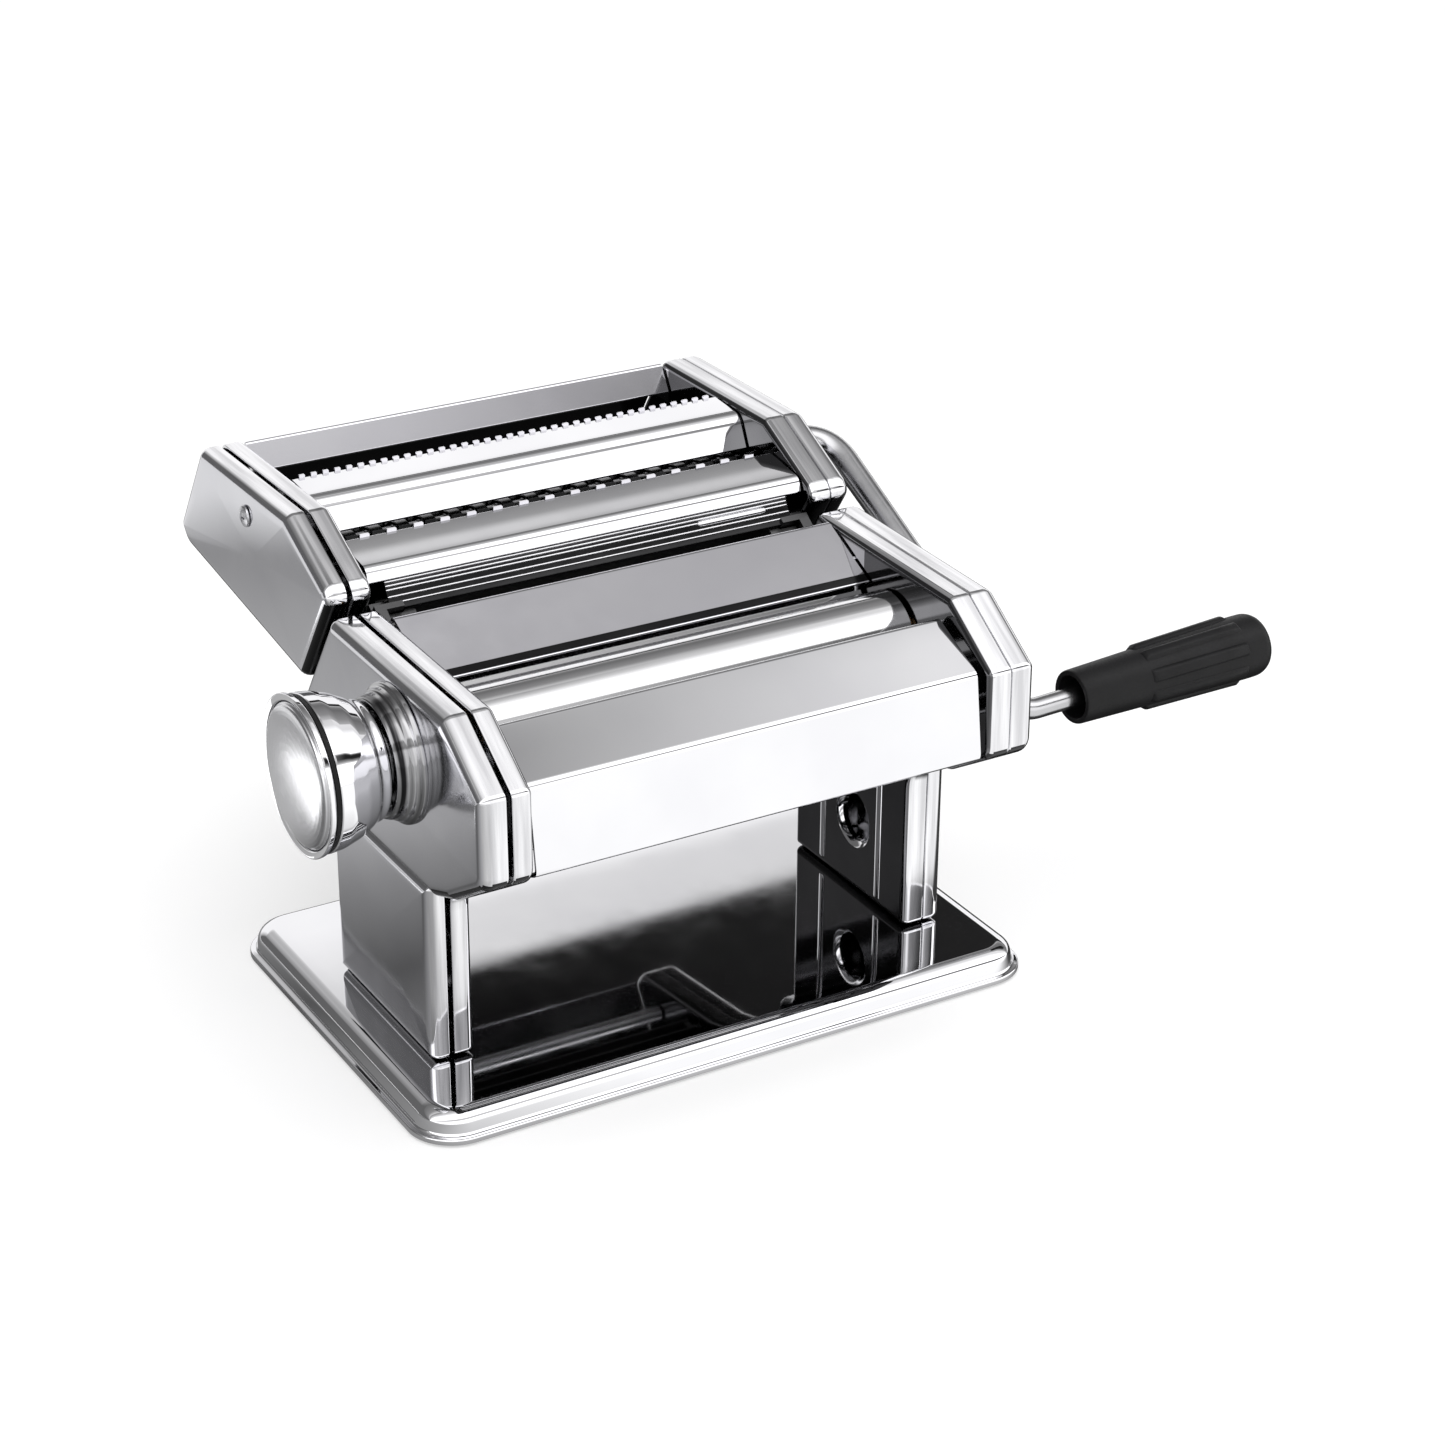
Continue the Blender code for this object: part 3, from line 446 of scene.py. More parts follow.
def tube(shape, path, radii, sides):
    """Skin round sections along a path."""
    loops = []
    normal = None
    for index, point in enumerate(path):
        before, after = path[max(index - 1, 0)], path[min(index + 1, len(path) - 1)]
        direction = (after - before).normalized()
        if normal is None:
            normal = direction.orthogonal().normalized()
        normal = (normal - direction * normal.dot(direction)).normalized()
        across = direction.cross(normal)
        turns = [2 * pi * step / sides for step in range(sides)]
        loops.append([point + radii[index] * (normal * cos(a) + across * sin(a)) for a in turns])
    add_loft(shape, loops)


def cut(piece, guide_data, name):
    """Cut a guide's shape out of a finished piece."""
    bmesh.ops.recalc_face_normals(guide_data, faces=guide_data.faces)
    bmesh.ops.translate(guide_data, verts=guide_data.verts, vec=ORIGIN)
    mesh = bpy.data.meshes.new(name)
    guide_data.to_mesh(mesh)
    guide_data.free()
    guide = bpy.data.objects.new(name, mesh)
    bpy.context.collection.objects.link(guide)
    boolean = piece.modifiers.new(name, "BOOLEAN")
    boolean.operation = "DIFFERENCE"
    boolean.object = guide
    bpy.context.view_layer.objects.active = piece
    while piece.modifiers[0] != boolean:
        bpy.ops.object.modifier_move_up(modifier=boolean.name)
    bpy.ops.object.modifier_apply(modifier=boolean.name)
    bpy.data.objects.remove(guide, do_unlink=True)
    bpy.data.meshes.remove(mesh)


def bore(piece, name, centre, radius, x_start, x_end):
    """Cut a round hole along X."""
    data = bmesh.new()
    add_loft(data, [circle(x, centre, radius, 64) for x in (x_start, x_end)])
    cut(piece, data, name)


# ---------------------------------------------------------------- base
def base_loop(z, distance):
    """The base's outline, inset, at a height."""
    half_x, half_y = BASE_HALF
    corners = ((half_x, half_y, BASE_CORNER), (-half_x, half_y, BASE_CORNER),
               (-half_x, -half_y, BASE_CORNER), (half_x, -half_y, BASE_CORNER))
    return [(x, y, z) for x, y in round_corners(inset_corners(corners, distance), 16)]


def build_base():
    top = BASE_TOP
    outer = rounded(((0.0120, top), (0.0062, top), (0.0030, top - 0.0020), (0.0020, 0.0027),
                     (0.0, 0.0025), (0.0, 0.0008)), (0, 0.0030, 0.0026, 0.0008, 0.0006, 0), 6)
    inner = rounded(((0.0006, 0.0008), (0.0029, 0.0010), (0.0038, top - 0.0030), (0.0066, top - 0.0011),
                     (0.0120, top - 0.0011)), 0.0012, 4)
    shape = bmesh.new()
    add_loft(shape, [base_loop(z, distance) for distance, z in outer + inner])
    finish_piece(shape, "base_shell", CHROME, FRAME, ["base_plate"])
    for label in ("front_left", "front_right", "rear_left", "rear_right"):
        low, high = local(label + "_foot")
        x, y = (low.x + high.x) / 2, (low.y + high.y) / 2
        radius = (high.x - low.x) / 2
        pad = rounded(((0.0, 0.0018), (0.0, radius - 0.0012), (0.0016, radius), (high.z, radius)),
                      0.0008, 4)
        dimple = [(0.0010, 0.0016), (0.0010, 0.0018)]
        turns = [2 * pi * step / 48 for step in range(48)]
        foot = bmesh.new()
        add_loft(foot, [[(x + r * cos(a), y + r * sin(a), z) for a in turns]
                        for z, r in dimple + pad[1:]])
        finish_piece(foot, label + "_foot_pad", RUBBER, FRAME, [label + "_foot"])
    for side in (-1, 1):
        for y in (LEG_FRONT + 0.010, LEG_REAR - 0.010):
            cross_screw("base_screw_%s_%s" % ("l" if side < 0 else "r", "f" if y < 0 else "b"),
                        Vector((side * 0.0840, y, BASE_TOP - 0.0016)), Vector((0, 0, -1)), 0.0032,
                        FRAME, ())


def cross_screw(name, spot, out, radius, body, nodes):
    """A pan-head screw with a cross recess; out is the way its head faces."""
    rotation = Vector((1, 0, 0)).rotation_difference(out).to_matrix()
    shape = bmesh.new()
    head = rounded(((-0.0030, 0.0015), (0.0, 0.0015), (0.0, radius), (0.0007, radius * 0.93),
                    (0.0014, radius * 0.45), (0.0015, 0.0001)), 0.0004, 4)
    add_loft(shape, [circle(x, (0.0, 0.0), r, 40) for x, r in head])
    for vert in shape.verts:
        vert.co = rotation @ vert.co + spot
    screw = finish_piece(shape, name, BRUSHED, body, nodes)
    long, narrow = radius * 0.62, 0.00034
    for index, (a, b) in enumerate(((long, narrow), (narrow, long))):
        slot = bmesh.new()
        around = ((-a, -b), (a, -b), (a, b), (-a, b))
        add_loft(slot, [[(x, y * k, z * k) for y, z in around]
                        for x, k in ((0.0004, 0.6), (0.0030, 1.6))])
        for vert in slot.verts:
            vert.co = rotation @ vert.co + spot
        cut(screw, slot, "%s_slot_%d" % (name, index))


# ---------------------------------------------------------------- sides of the machine
def build_sides():
    for label, side in (("left", -1), ("right", 1)):
        seam = SEAM_GAP[label] / 2
        # The inner plates carry painted dark reflection and shade on their faces, in front of and below
        # given places, and painted reflection streaks on their rims. What faces down carries painted
        # shade.
        plate = pan(label + "_side_frame", FRAME_CORNERS, side * (SEAM_X - seam), side * INNER_X,
                    RIM_REFLECTION_CHROME, FRAME, [label + "_frame_plate"], 0.0026, face=DARK_REFLECTION_CHROME,
                    front_of=-0.012, below=HEAD_BOTTOM + 0.006)
        head = pan(label + "_head_shell", HEAD_CORNERS, side * (SEAM_X + seam), side * HEAD_X,
                   RIM_REFLECTION_CHROME, FRAME, [label + "_head_cover"], 0.0040, 0.0005, face=COVER_CHROME)
        leg = pan(label + "_leg_shell", LEG_CORNERS, side * (SEAM_X + seam), side * LEG_X,
                  RIM_REFLECTION_CHROME, FRAME, [label + "_leg_cover"], 0.0036, 0.0003, face=COVER_CHROME,
                  shaded=-0.85)
        through = [side * x for x in PLATE_CUT]
        bore(plate, label + "_bush_hole", REAR_ROLLER, SOCKET_HOLE_R, *through)
        slot = bmesh.new()
        front, back = FRONT_ROLLER[0] - 0.0130, FRONT_ROLLER[0] + 0.0090
        low, high = FRONT_ROLLER[1] - 0.0092, FRONT_ROLLER[1] + 0.0092
        window = round_corners(((back, high, 0.002), (front, high, 0.002), (front, low, 0.002),
                                (back, low, 0.002)), 6)
        add_loft(slot, [[(x, y, z) for y, z in window] for x in through])
        cut(plate, slot, label + "_bush_window")
        if side > 0:
            dish = CLAMP_R + 0.0020
            bore(plate, "clamp_hole_frame", CLAMP_HOLE, dish, 0.070, 0.082)
            bore(leg, "clamp_hole_leg", CLAMP_HOLE, dish, 0.084, 0.100)
            for name, face, way in (("inner", INNER_X, 1), ("outer", LEG_X + 0.0002, -1)):
                rim = ((face, dish + 0.0001), (face + way * 0.0004, CLAMP_R + 0.0011),
                       (face + way * 0.0014, CLAMP_R + 0.0002), (face + way * 0.0032, CLAMP_R),
                       (face + way * 0.0032, CLAMP_R + 0.0005), (face + way * 0.0014, dish + 0.0001))
                turned("clamp_eyelet_" + name, CLAMP_HOLE, rim, CHROME, FRAME, closed=True, segments=72)
            bore(head, "main_socket_hole", REAR_ROLLER, SOCKET_HOLE_R, 0.088, 0.098)
            leg_ribs()
        else:
            bore(head, "regulator_hole", FRONT_ROLLER, 0.0070, -0.088, -0.098)


def leg_ribs():
    """Two upright ribs pressed into the right leg's inner side."""
    low, high, end, half = 0.0130, 0.0655, 0.0008, 0.0016
    arc = [pi * step / 8 for step in range(9)]
    for index, y in enumerate((-0.0245, 0.0085)):
        rib = bmesh.new()
        add_loft(rib, [[(INNER_X + 0.0001 - rise * sin(a), y + half * cos(a), z) for a in arc]
                       for z, rise in ((low, 0.0001), (low + end, 0.0005), (high - end, 0.0005),
                                       (high, 0.0001))])
        finish_piece(rib, "leg_rib_%d" % index, CHROME, FRAME)


# ---------------------------------------------------------------- head sheets, rods, rollers
def tie_rod(node, body):
    low, high = local(node)
    radius = (high.z - low.z) / 2
    turned(node + "_bar", axis_of(node),
           ((low.x, POINT_R), (low.x, radius), (high.x, radius), (high.x, POINT_R)),
           BRUSHED, body, [node], 48)


HOPPER_SHADE_SHARE = 0.11               # share of the hopper's slope that its painted shade strip takes, at its lower end


def build_head():
    bent_sheet("front_cover_sheet", FRONT_COVER_LINE, (0, 0.0012, 0.0014, 0.0020, 0), CHROME,
               FRAME, ["front_cover"], half=SPAN_X - 0.0002, trim=0.0010)
    lip = tuple(Vector(HOPPER_LINE[0]).lerp(Vector(HOPPER_LINE[1]), HOPPER_SHADE_SHARE))
    hopper = bent_sheet("hopper_sheet", (HOPPER_LINE[0], lip) + HOPPER_LINE[1:], (0, 0, 0.0018, 0),
                        HOPPER_CHROME, FRAME, ["hopper_plate"])
    # Painted shade: a near-black strip at the hopper's lower end, standing for the shade of the gap
    # below it.
    hopper.data.polygons[0].material_index = SHADE_SLOT
    for node in ("front_tie_rod", "rear_tie_rod"):
        tie_rod(node, FRAME)


def build_smooth_rollers():
    end = SPAN_X - 0.0004
    socket_end = local("rear_roller")[1].x
    turned("rear_smooth_cylinder", REAR_ROLLER,
           ((0.0680, 0.0042), (socket_end, 0.0042), (socket_end, 0.0065), (end, 0.0065),
            (end, ROLLER_R), (-end, ROLLER_R), (-end, 0.0050), (-0.0820, 0.0050)), ROLLER_STEEL,
           "rear_smooth_roller", ["rear_roller"], 160)
    turned("front_smooth_cylinder", FRONT_ROLLER,
           ((0.0880, 0.0050), (end, 0.0050), (end, ROLLER_R), (-end, ROLLER_R),
            (-end, 0.0050), (-0.0820, 0.0050)), ROLLER_STEEL, "front_smooth_roller",
           ["front_roller"], 160)


# ---------------------------------------------------------------- regulator
def build_regulator():
    axis = FRONT_ROLLER
    collar = rounded(((-0.0928, 0.0060), (-0.0928, 0.0212), (-0.0944, 0.0210), (-0.0950, 0.0196),
                      (-0.0966, 0.0194), (-0.0972, 0.0186), (-0.0990, 0.0184), (-0.1008, 0.0176),
                      (-0.1008, 0.0060)), 0.0006, 4)
    # The collar's dark rings are painted reflection and shade in its colour.
    turned("regulator_ring", axis, collar, BANDED_REFLECTION_CHROME, FRAME, ["regulator_collar"], 128,
           closed=True)
    back_x, web_x, groove_x = -0.1018, -0.1058, -0.1045
    face = local("knob_cap")[0].x
    recess = face + 0.0040
    rim = local("knob_body")[0].x
    body = rounded(((back_x, 0.0160), (back_x, 0.0166), (-0.1030, 0.0180), (-0.1052, 0.0182),
                    (-0.1070, 0.0196), (-0.1110, 0.0216), (-0.1160, 0.0231), (-0.1203, 0.0235),
                    (-0.1204, 0.0222), (-0.1219, 0.0222), (-0.1220, 0.0239), (-0.1240, 0.0241),
                    (rim, 0.0232), (rim + 0.0004, 0.0218), (recess, 0.0218), (recess, 0.0100),
                    (web_x, 0.0100), (web_x, 0.0044), (back_x, 0.0044), (back_x, 0.0110),
                    (groove_x, 0.0110), (groove_x, 0.0150), (back_x, 0.0150)), 0.0009, 5)
    turned("knob_shell", axis, body, CHROME, "regulator_knob", ["knob_body"], 128, closed=True)
    # Painted shade: a black ring that fills the groove behind the knob's rim, standing for the groove's
    # shade.
    turned("knob_groove_shade", axis,
           ((-0.1205, 0.0222), (-0.1205, 0.0233), (-0.1218, 0.0236), (-0.1218, 0.0222)),
           BLACK_PLASTIC, "regulator_knob", (), 128, closed=True)
    dome_r = 0.0208
    cap = [(recess - GAP, 0.0104), (recess - GAP, 0.0215), (rim + 0.0006, 0.0215), (rim, dome_r)]
    for step in range(1, 13):
        turn = step / 12 * pi / 2
        cap.append((rim - (rim - face) * sin(turn), dome_r * cos(turn) + 0.00005))
    turned("knob_dome", axis, cap, SPUN_CHROME, "regulator_knob", ["knob_cap"], 128, radius=0.0002)


# ---------------------------------------------------------------- cutter
FRONT_BEND, FRONT_LIP = (Vector(point) for point in CUTTER_FRONT_LINE[1:])
FRONT_END, SKIRT_START = 0.52, 0.46     # shares of the way from the bend to the lip


def build_cutter_body():
    screw_spot = axis_of("cutter_left_screw")
    for label, side in (("left", -1), ("right", 1)):
        seam = SEAM_GAP[label] / 2
        # The cutter's inner plates carry painted dark reflection and shade on their faces, in front of
        # and below given places, and painted reflection streaks on their rims. What faces down carries
        # painted shade.
        plate = pan("cutter_%s_side" % label, CUTTER_CORNERS, side * (SEAM_X - seam), side * INNER_X,
                    RIM_REFLECTION_CHROME, "cutter", ["cutter_%s_frame" % label], 0.0026, face=DARK_REFLECTION_CHROME,
                    front_of=0.112, below=0.139)
        through = [side * x for x in PLATE_CUT]
        for index, axis in enumerate((WIDE_IDLE, WIDE_DRIVE, FINE_DRIVE, FINE_IDLE)):
            hole = 0.0072 if side > 0 and axis in (WIDE_DRIVE, FINE_DRIVE) else 0.0044
            bore(plate, "cutter_%s_hole_%d" % (label, index), axis, hole, *through)
        cover = pan("cutter_%s_shell" % label, CUTTER_CORNERS, side * (SEAM_X + seam), side * CUTTER_X,
                    RIM_REFLECTION_CHROME, "cutter", ["cutter_%s_cover" % label], 0.0040, 0.0005,
                    face=COVER_CHROME)
        if side > 0:
            for index, axis in enumerate((WIDE_DRIVE, FINE_DRIVE)):
                bore(cover, "cutter_socket_hole_%d" % index, axis, 0.0078, 0.086, 0.096)
        cross_screw("cutter_%s_cover_screw" % label,
                    Vector((side * (CUTTER_X + 0.0004), *screw_spot)), Vector((side, 0, 0)), 0.0036,
                    "cutter", ["cutter_%s_screw" % label])
    inside = CUTTER_X - SHEET - GAP
    lip = CUTTER_X + 0.0006
    for kind, axis in (("wide", WIDE_DRIVE), ("fine", FINE_DRIVE)):
        ring = rounded(((0.0884, 0.0064), (0.0884, 0.0092), (inside, 0.0092), (inside, 0.0074),
                        (lip, 0.0074), (lip, 0.0064)), 0.0003, 3)
        turned(kind + "_socket_ring", axis, ring, BLACK_PLASTIC, "cutter", [kind + "_socket_bush"], 64,
               closed=True)
    bent_sheet("cutter_rear_sheet", CUTTER_REAR_LINE, (0, 0.0009, 0), HOPPER_CHROME, "cutter",
               ["cutter_rear_plate"])
    bent_sheet("cutter_middle_sheet", CUTTER_MIDDLE_LINE, (0, 0.0030, 0), CHROME, "cutter",
               ["cutter_middle_plate"])
    front_line = (*CUTTER_FRONT_LINE[:2], tuple(FRONT_BEND.lerp(FRONT_LIP, FRONT_END)))
    bent_sheet("cutter_front_sheet", front_line, (0, 0.0030, 0), CHROME, "cutter",
               ["cutter_front_plate"])
    guide_teeth("fine_guide_teeth", CUTTER_MIDDLE_LINE[0], 0.0040, 0.0019, 37)
    guide_teeth("wide_guide_teeth", CUTTER_FRONT_LINE[0], 0.0090, 0.0032, 16)
    dress_front_of_cutter()
    for node in ("cutter_front_tie_rod", "cutter_rear_tie_rod"):
        tie_rod(node, "cutter")


def dress_front_of_cutter():
    """A skirt of painted shade under the front plate, with beads along it and a raised loop at its
    right.
    """
    half, thick, tip = 0.0700, 0.0006, 0.0003
    low, high = local("cutter_mount_bracket")
    down = (FRONT_LIP - FRONT_BEND).normalized()
    out = Vector((down.y, -down.x))
    start = FRONT_BEND.lerp(FRONT_LIP, SKIRT_START) - out * thick
    knee = FRONT_LIP - out * thick
    foot = Vector((low.y + 0.0013, high.z - 0.0010))
    # Painted shade: a near-black sheet that stands for the dark band under the front plate.
    bent_sheet("cutter_front_shade_skirt", (start, knee, foot), (0, 0, 0), SHADE_STEEL, "cutter", (), thick,
               half)
    spots = [start.lerp(knee, share) for share in (0.35, 0.65, 0.95)]
    spots += [knee.lerp(foot, share) for share in (0.35, 0.70)]
    for index, spot in enumerate(spots):
        turned("skirt_bead_%d" % index, spot + out * (thick / 2),
               ((-half, 0.0001), (-half + tip, tip), (half - tip, tip), (half, 0.0001)),
               CHROME, "cutter", (), 16)
    turned("skirt_loop", knee + out * (thick / 2),
           ((0.0370, 0.0002), (0.0373, 0.0008), (0.0390, 0.0011), (0.0600, 0.0011), (0.0617, 0.0008),
            (0.0620, 0.0002)), CHROME, "cutter", (), 24)


def guide_teeth(name, edge, pitch, width, count):
    """Small fingers that stand along the rear edge of a cutter plate, over its rollers' grooves."""
    shape = bmesh.new()
    for index in range(count):
        middle = (index - (count - 1) / 2) * pitch
        rows = []
        for share, rise in ((1.0, 0.0), (1.0, 0.0016), (0.9, 0.0018)):
            left, right = middle - width / 2 * share, middle + width / 2 * share
            front, back = edge[0] + 0.0001, edge[0] + 0.0004 + 0.0006 * share
            z = edge[1] - 0.0004 + rise
            rows.append([(left, front, z), (right, front, z), (right, back, z), (left, back, z)])
        add_loft(shape, rows)
    finish_piece(shape, name, HOPPER_CHROME, "cutter", weighted=False)


def ringed(first, pitch, width, depth, radius):
    """Profile of a roller with square rings, from its left journal to its right end."""
    end = SPAN_X - 0.0014
    core = radius - depth
    line = [(-0.0820, 0.0040), (-end, 0.0040), (-end, core)]
    x = first
    while x + width / 2 < end - 0.0006:
        if x - width / 2 > -end + 0.0004:
            near, far = x - width / 2, x + width / 2
            line += [(near, core), (near, radius), (far, radius), (far, core)]
        x += pitch
    line.append((end, core))
    return line


def build_cutting_rollers():
    socket_end = CUTTER_X - 0.0003
    wide, fine = (0.0090, 0.0041, 0.0014), (0.0040, 0.0018, 0.0009)     # pitch, width, depth
    for name, axis, first, rings in (
            ("wide_idle", WIDE_IDLE, -0.0705, wide), ("wide_drive", WIDE_DRIVE, -0.0660, wide),
            ("fine_drive", FINE_DRIVE, -0.0710, fine), ("fine_idle", FINE_IDLE, -0.0690, fine)):
        line = ringed(first, *rings, CUTTER_R)
        end = line[-1][0]
        if name.endswith("drive"):
            line += [(end, 0.0060), (socket_end, 0.0060), (socket_end, 0.0042), (0.0680, 0.0042)]
        else:
            line += [(end, 0.0040), (0.0870, 0.0040)]
        # The rings' near-black colour is painted shade of the cutter's slots.
        turned(name + "_rings", axis, line, SHADED_RING_STEEL, name, [name + "_roller"], 64, radius=0.00025,
               steps=1)


# ---------------------------------------------------------------- crank
def crank_frame():
    """The crank's shoulder, wrist and directions, from the grip's joint and the fine drive roller's
    axis.
    """
    joint = next(j for j in frame["joints"] if j["name"] == "grip_spin")
    wrist = Vector(joint["pos_m"]) - ORIGIN
    rod = Vector(joint["axis"]).normalized()
    hub = Vector((0.0, *FINE_DRIVE))
    side = (wrist - hub).cross(rod).normalized()
    arm = rod.cross(side).normalized()
    if arm.z > 0:
        arm = -arm
    reach = (wrist.y - hub.y) / arm.y
    shoulder = wrist - arm * reach
    return hub, shoulder, wrist, arm, rod


def build_crank():
    """The crank's bar, from its end in the socket to the rod in the grip."""
    hub, shoulder, wrist, arm, rod = crank_frame()
    out = Vector((1.0, 0.0, 0.0))
    grip_end = (local("crank_grip")[1].x - wrist.x) / rod.x - 0.0002
    bar_r, rod_r = 0.0046, 0.0035
    path = [hub + out * 0.0700, hub + out * 0.0704, hub + out * 0.0945, hub + out * 0.0960]
    radii = [0.0030, 0.0038, 0.0038, bar_r]
    for corner, before, after, bend, radius in (
            (shoulder, out, arm, 0.0140, bar_r), (wrist, arm, rod, 0.0060, rod_r)):
        for step in range(15):
            share = step / 14
            start = corner - before * (bend * (1 - share))
            end = corner + after * (bend * share)
            path.append(start.lerp(end, share))
            radii.append(radius)
    path.append(wrist + rod * (grip_end - 0.0120))
    radii.append(rod_r)
    shape = bmesh.new()
    tube(shape, path, radii, 40)
    finish_piece(shape, "crank_bar", CRANK_STEEL, "crank", ["crank_arm"], weighted=False)
    build_grip(wrist, rod, grip_end)


def build_grip(wrist, rod, grip_end):
    """The moulded grip, with eight ribs round its middle."""
    start = 0.0200
    turn = Vector((1.0, 0.0, 0.0)).rotation_difference(rod).to_matrix()
    skin = rounded(((start + 0.0100, 0.0040), (start + 0.0080, 0.0066), (start, 0.0072),
                    (start, 0.0088), (start + 0.0006, 0.0090), (grip_end - 0.0080, 0.0108),
                    (grip_end - 0.0030, 0.0107), (grip_end - 0.0006, 0.0094), (grip_end, 0.0062),
                    (grip_end + 0.0001, 0.0002)), (0, 0.0008, 0.0004, 0.0004, 0.0004, 0.002, 0.002,
                                                   0.002, 0.001, 0), 5)
    shape = bmesh.new()
    add_loft(shape, [circle(x, (0.0, 0.0), r, 96) for x, r in skin])
    for vert in shape.verts:
        vert.co = turn @ vert.co + wrist
    finish_piece(shape, "grip_shell", BLACK_PLASTIC, "grip", ["crank_grip"], weighted=False)
    length = grip_end - start
    first, last = start + length * 0.34, start + length * 0.86
    neck_r, flare, sunk = 0.0090, 0.0018, 0.0004
    half, high, steep = 0.0024, 0.0015, 30
    for index in range(8):
        angle = 2 * pi * index / 8 + radians(20)
        rib = bmesh.new()
        loops = []
        for share in (0.0, 0.02, 0.04, 0.25, 0.5, 0.75, 0.96, 0.98, 1.0):
            along = first + (last - first) * share
            base_r = neck_r + flare * (along - start) / length - sunk
            rise = high * min(1.0, steep * share, steep * (1 - share)) + 0.0002
            loop = []
            for across in [step / 4 for step in range(-4, 5)]:
                s = across * half
                r = base_r + rise * sqrt(1 - abs(across) ** 3)
                loop.append(turn @ Vector((along, r * cos(angle) - s * sin(angle),
                                           r * sin(angle) + s * cos(angle))) + wrist)
            loops.append(loop)
        add_loft(rib, loops)
        finish_piece(rib, "grip_rib_%d" % index, BLACK_PLASTIC, "grip", (), 50, weighted=False)


# ---------------------------------------------------------------- CAD pieces that stay
def dress_cad_nodes():
    looks = (
        # The inner pieces get the dark steel, as painted shade of the machine's inside.
        (INSIDE_SHADE_STEEL, ("rear_cover", "rear_scraper", "front_scraper", "left_mounting_rail",
                      "right_mounting_rail", "cutter_mount_bracket", "wide_comb", "fine_comb")),
        (BRONZE, ("left_roller_bush", "right_roller_bush", "left_eccentric_bush",
                  "right_eccentric_bush")),
        (GEAR_STEEL, ("index_pin", "front_roller_gear", "rear_roller_gear")),
        (BRUSHED, ("knob_spring", "regulator_shaft")),
        (NYLON, ("wide_drive_gear", "wide_idle_gear", "fine_drive_gear", "fine_idle_gear")))
    for material, names in looks:
        for name in names:
            for slot in frame["nodes"][name].material_slots:
                slot.material = material


# ---------------------------------------------------------------- stage
def stage_plane(name, centre, right, up, material):
    """A flat piece of the stage, reaching right and up from its centre."""
    mesh = bpy.data.meshes.new(name)
    corners = [centre - right - up, centre + right - up, centre + right + up, centre - right + up]
    mesh.from_pydata([tuple(c) for c in corners], [], [(0, 1, 2, 3)])
    mesh.materials.append(material)
    plane = bpy.data.objects.new(name, mesh)
    bpy.context.collection.objects.link(plane)
    return plane


def graded(nodes, links, source, stops):
    """A level that follows a value through a list of (value, level) points."""
    first, last = stops[0][0], stops[-1][0]
    top = max(level for _, level in stops)
    share = set_node(nodes, "MapRange", From_Min=first, From_Max=last)
    links.new(source, share.inputs["Value"])
    curve = nodes.new("ShaderNodeValToRGB")
    points = curve.color_ramp.elements
    while len(points) < len(stops):
        points.new(0.5)
    for point, (value, level) in zip(points, stops):
        point.position = (value - first) / (last - first)
        point.color = (level / top, level / top, level / top, 1.0)
    links.new(share.outputs["Result"], curve.inputs["Fac"])
    return maths(nodes, links, "MULTIPLY", curve.outputs["Color"], top)


def maths(nodes, links, operation, *values):
    """A math node fed by sockets and plain numbers."""
    node = nodes.new("ShaderNodeMath")
    node.operation = operation
    for socket, value in zip(node.inputs, values):
        if isinstance(value, float):
            socket.default_value = value
        else:
            links.new(value, socket)
    return node.outputs[0]


def build_floor():
    """A white table top; the chrome mirrors its own levels of it, from the left and the right side."""
    material, nodes, links, shader = shader_material("pale_floor")
    shader.inputs["Base Color"].default_value = (0.92, 0.92, 0.92, 1.0)
    shader.inputs["Roughness"].default_value = 1.0
    shader.inputs["Specular IOR Level"].default_value = 0.0
    spot = nodes.new("ShaderNodeNewGeometry")
    split = nodes.new("ShaderNodeSeparateXYZ")
    links.new(spot.outputs["Position"], split.inputs["Vector"])
    across = graded(nodes, links, split.outputs["X"],
                    ((ORIGIN.x - 0.13, 0.0), (ORIGIN.x - 0.02, 1.0)))
    back = maths(nodes, links, "SUBTRACT", split.outputs["Y"], ORIGIN.y)
    left_side = graded(nodes, links, back, FLOOR_LEFT)
    right_side = graded(nodes, links, back, FLOOR_RIGHT)
    mirrored = nodes.new("ShaderNodeEmission")
    links.new(blend(nodes, links, across, left_side, right_side), mirrored.inputs["Strength"])
    glow = nodes.new("ShaderNodeEmission")
    lit = set_node(nodes, "MixShader", Fac=FLOOR_GLOW)
    links.new(shader.outputs["BSDF"], lit.inputs[1])
    links.new(glow.outputs["Emission"], lit.inputs[2])
    path = nodes.new("ShaderNodeLightPath")
    pick = nodes.new("ShaderNodeMixShader")
    links.new(path.outputs["Is Glossy Ray"], pick.inputs["Fac"])
    links.new(lit.outputs["Shader"], pick.inputs[1])
    links.new(mirrored.outputs["Emission"], pick.inputs[2])
    links.new(pick.outputs["Shader"], nodes["Material Output"].inputs["Surface"])
    stage_plane("floor", Vector((0, 0, 0)), Vector((6, 0, 0)), Vector((0, 6, 0)), material)


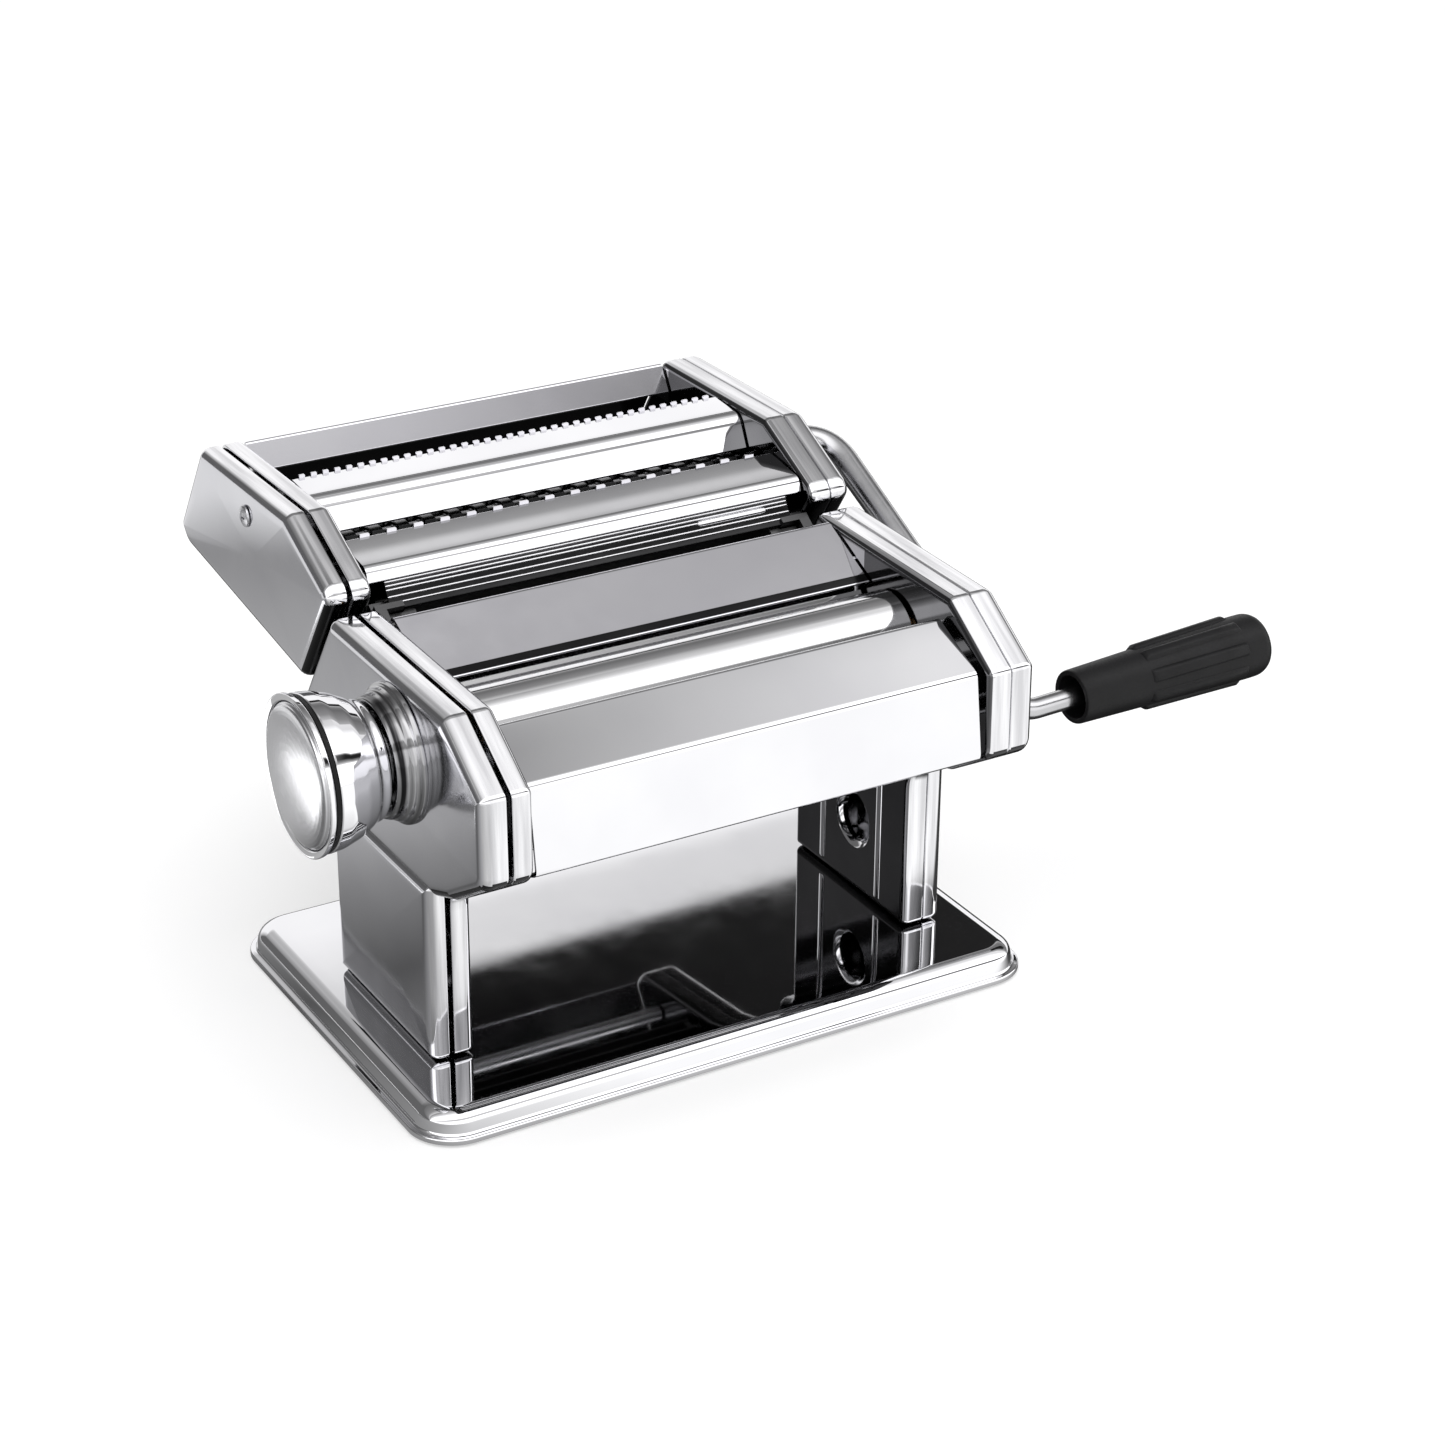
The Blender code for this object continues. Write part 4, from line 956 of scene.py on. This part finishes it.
# How bright the studio reads in the chrome. Tents: round the X axis, in degrees from straight back
# over the top, as (angle, level at the left, level at the right); EDGE_TENT has one level and stands
# at the far left of the low tent. Floors: as (metres back, level).
TENT_SPLIT = 48.0
LOW_TENT = ((20.0, 1.15, 1.15), (31.3, 1.20, 1.20), (31.5, 0.86, 0.86), (32.55, 0.86, 0.80),
            (32.7, 0.006, 0.02), (36.8, 0.006, 0.02), (38.0, 0.30, 0.30), (38.8, 0.38, 0.38),
            (39.2, 0.80, 0.70), (39.6, 0.80, 0.65), (40.0, 0.36, 0.30), (43.0, 0.24, 0.24),
            (48.0, 0.18, 0.18))
HIGH_TENT = ((48.0, 0.18, 0.18), (68.0, 0.32, 0.32), (76.4, 0.74, 0.50), (77.4, 0.70, 0.55),
             (78.6, 0.30, 1.00), (88, 0.70, 0.95), (97, 1.3, 1.4), (104, 2.2, 2.2), (132, 2.2, 2.2),
             (136, 0.60, 0.12), (138, 0.80, 0.02), (143, 0.80, 0.02), (147, 0.50, 0.35),
             (149.5, 0.85, 0.85), (151, 1.8, 1.8), (180, 1.5, 1.5))
EDGE_TENT = ((20.0, 1.15), (31.3, 1.15), (32.5, 0.86), (35.0, 0.62), (40.0, 0.36), (48.0, 0.18))
FLOOR_LEFT = ((-0.30, 0.9), (-0.10, 0.50), (0.03, 0.12), (0.09, 0.32), (0.13, 0.50), (0.20, 0.50),
              (0.30, 0.42), (0.37, 0.34), (0.45, 0.95))
FLOOR_RIGHT = ((-0.30, 1.25), (-0.085, 1.25), (-0.065, 0.05), (0.60, 0.05), (1.2, 1.1))
FLOOR_GLOW = 0.45
PALE = 0.95                     # the studio as the eye sees it
SIDE_SHADE = 0.15               # the low tent at the far left
# Where one zone gives way to the next, along the mirrored direction's x.
LEFT_TO_RIGHT = ((0.38, 0.0), (0.52, 1.0))
FAR_LEFT = ((0.345, 1.0), (0.362, 0.0))
LEFT_SHADE = ((-0.35, 1.0), (-0.12, 0.0))


def tent_level(nodes, links, degrees, across, stops):
    """The level round the X axis, blended from the left side of the studio to the right."""
    sides = [graded(nodes, links, degrees, [(stop[0], stop[column]) for stop in stops])
             for column in (1, 2)]
    return blend(nodes, links, across, *sides)


def blend(nodes, links, factor, first, second):
    """Blend two levels, each a socket or a plain number."""
    mix = nodes.new("ShaderNodeMix")
    links.new(factor, mix.inputs["Factor"])
    for socket, value in (("A", first), ("B", second)):
        if isinstance(value, float):
            mix.inputs[socket].default_value = value
        else:
            links.new(value, mix.inputs[socket])
    return mix.outputs["Result"]


def card(name, centre, half_width, half_depth, level):
    """A flat reflector on the floor that only the chrome sees."""
    material, nodes, links, _ = shader_material(name)
    glow = set_node(nodes, "Emission", Strength=level)
    links.new(glow.outputs["Emission"], nodes["Material Output"].inputs["Surface"])
    plane = stage_plane(name, Vector(centre) + ORIGIN, Vector((half_width, 0, 0)),
                        Vector((0, half_depth, 0)), material)
    plane.visible_camera = False
    plane.visible_diffuse = False
    plane.visible_shadow = False


def build_world():
    """A studio tent: pale to the eye, with grey, dark and bright zones in the chrome."""
    world = bpy.data.worlds.new("studio")
    bpy.context.scene.world = world
    world.use_nodes = True
    nodes, links = world.node_tree.nodes, world.node_tree.links
    coords = nodes.new("ShaderNodeTexCoord")
    split = nodes.new("ShaderNodeSeparateXYZ")
    links.new(coords.outputs["Generated"], split.inputs["Vector"])
    turn = maths(nodes, links, "ARCTAN2", split.outputs["Z"], split.outputs["Y"])
    degrees = maths(nodes, links, "MULTIPLY", turn, 180.0 / pi)
    x = split.outputs["X"]
    across = graded(nodes, links, x, LEFT_TO_RIGHT)
    low = tent_level(nodes, links, degrees, across, LOW_TENT)
    high = tent_level(nodes, links, degrees, across, HIGH_TENT)
    left_edge = graded(nodes, links, x, FAR_LEFT)
    low = blend(nodes, links, left_edge, low, graded(nodes, links, degrees, EDGE_TENT))
    tent = blend(nodes, links, maths(nodes, links, "GREATER_THAN", degrees, TENT_SPLIT), low, high)
    leftward = graded(nodes, links, x, LEFT_SHADE)
    is_low = maths(nodes, links, "LESS_THAN", degrees, TENT_SPLIT)
    tent = blend(nodes, links, maths(nodes, links, "MULTIPLY", leftward, is_low), tent, SIDE_SHADE)
    path = nodes.new("ShaderNodeLightPath")
    pick = blend(nodes, links, path.outputs["Is Glossy Ray"], PALE, tent)
    background = nodes["Background"]
    links.new(pick, background.inputs["Strength"])
    background.inputs["Color"].default_value = (1.0, 0.995, 1.0, 1.0)


def area_light(name, spot, target, size, power):
    """A soft light that the chrome doesn't mirror."""
    data = bpy.data.lights.new(name, "AREA")
    data.shape = "RECTANGLE"
    data.size = data.size_y = size
    data.energy = power
    lamp = bpy.data.objects.new(name, data)
    lamp.location = Vector(spot) + ORIGIN
    lamp.rotation_euler = (Vector(target) - Vector(spot)).to_track_quat("-Z", "Y").to_euler()
    lamp.visible_glossy = False
    bpy.context.collection.objects.link(lamp)


def build_camera():
    spot = Vector((-0.4385, -0.8010, 0.5264))
    azimuth, elevation, roll = radians(-30.45), radians(25.85), radians(0.43)
    back = Vector((sin(azimuth) * cos(elevation), -cos(azimuth) * cos(elevation), sin(elevation)))
    right = Vector((0, 0, 1)).cross(back).normalized()
    up = back.cross(right)
    across = right * cos(roll) + up * sin(roll)
    upward = up * cos(roll) - right * sin(roll)
    data = bpy.data.cameras.new("camera")
    data.lens = 81.81
    data.sensor_width = 36.0
    camera = bpy.data.objects.new("camera", data)
    matrix = Matrix((across, upward, back)).transposed().to_4x4()
    matrix.translation = spot + ORIGIN
    camera.matrix_world = matrix
    bpy.context.collection.objects.link(camera)
    bpy.context.scene.camera = camera


def build_stage():
    build_camera()
    build_floor()
    build_world()
    card("knob_card", (-0.310, 0.150, 0.0005), 0.092, 0.060, 1.9)
    area_light("overhead", (0.10, -0.20, 1.40), (0, 0, 0), 1.6, 14.0)
    bpy.context.scene.view_settings.view_transform = "Standard"


build_base()
build_sides()
build_head()
build_smooth_rollers()
build_regulator()
build_cutter_body()
build_cutting_rollers()
build_crank()
dress_cad_nodes()
build_stage()
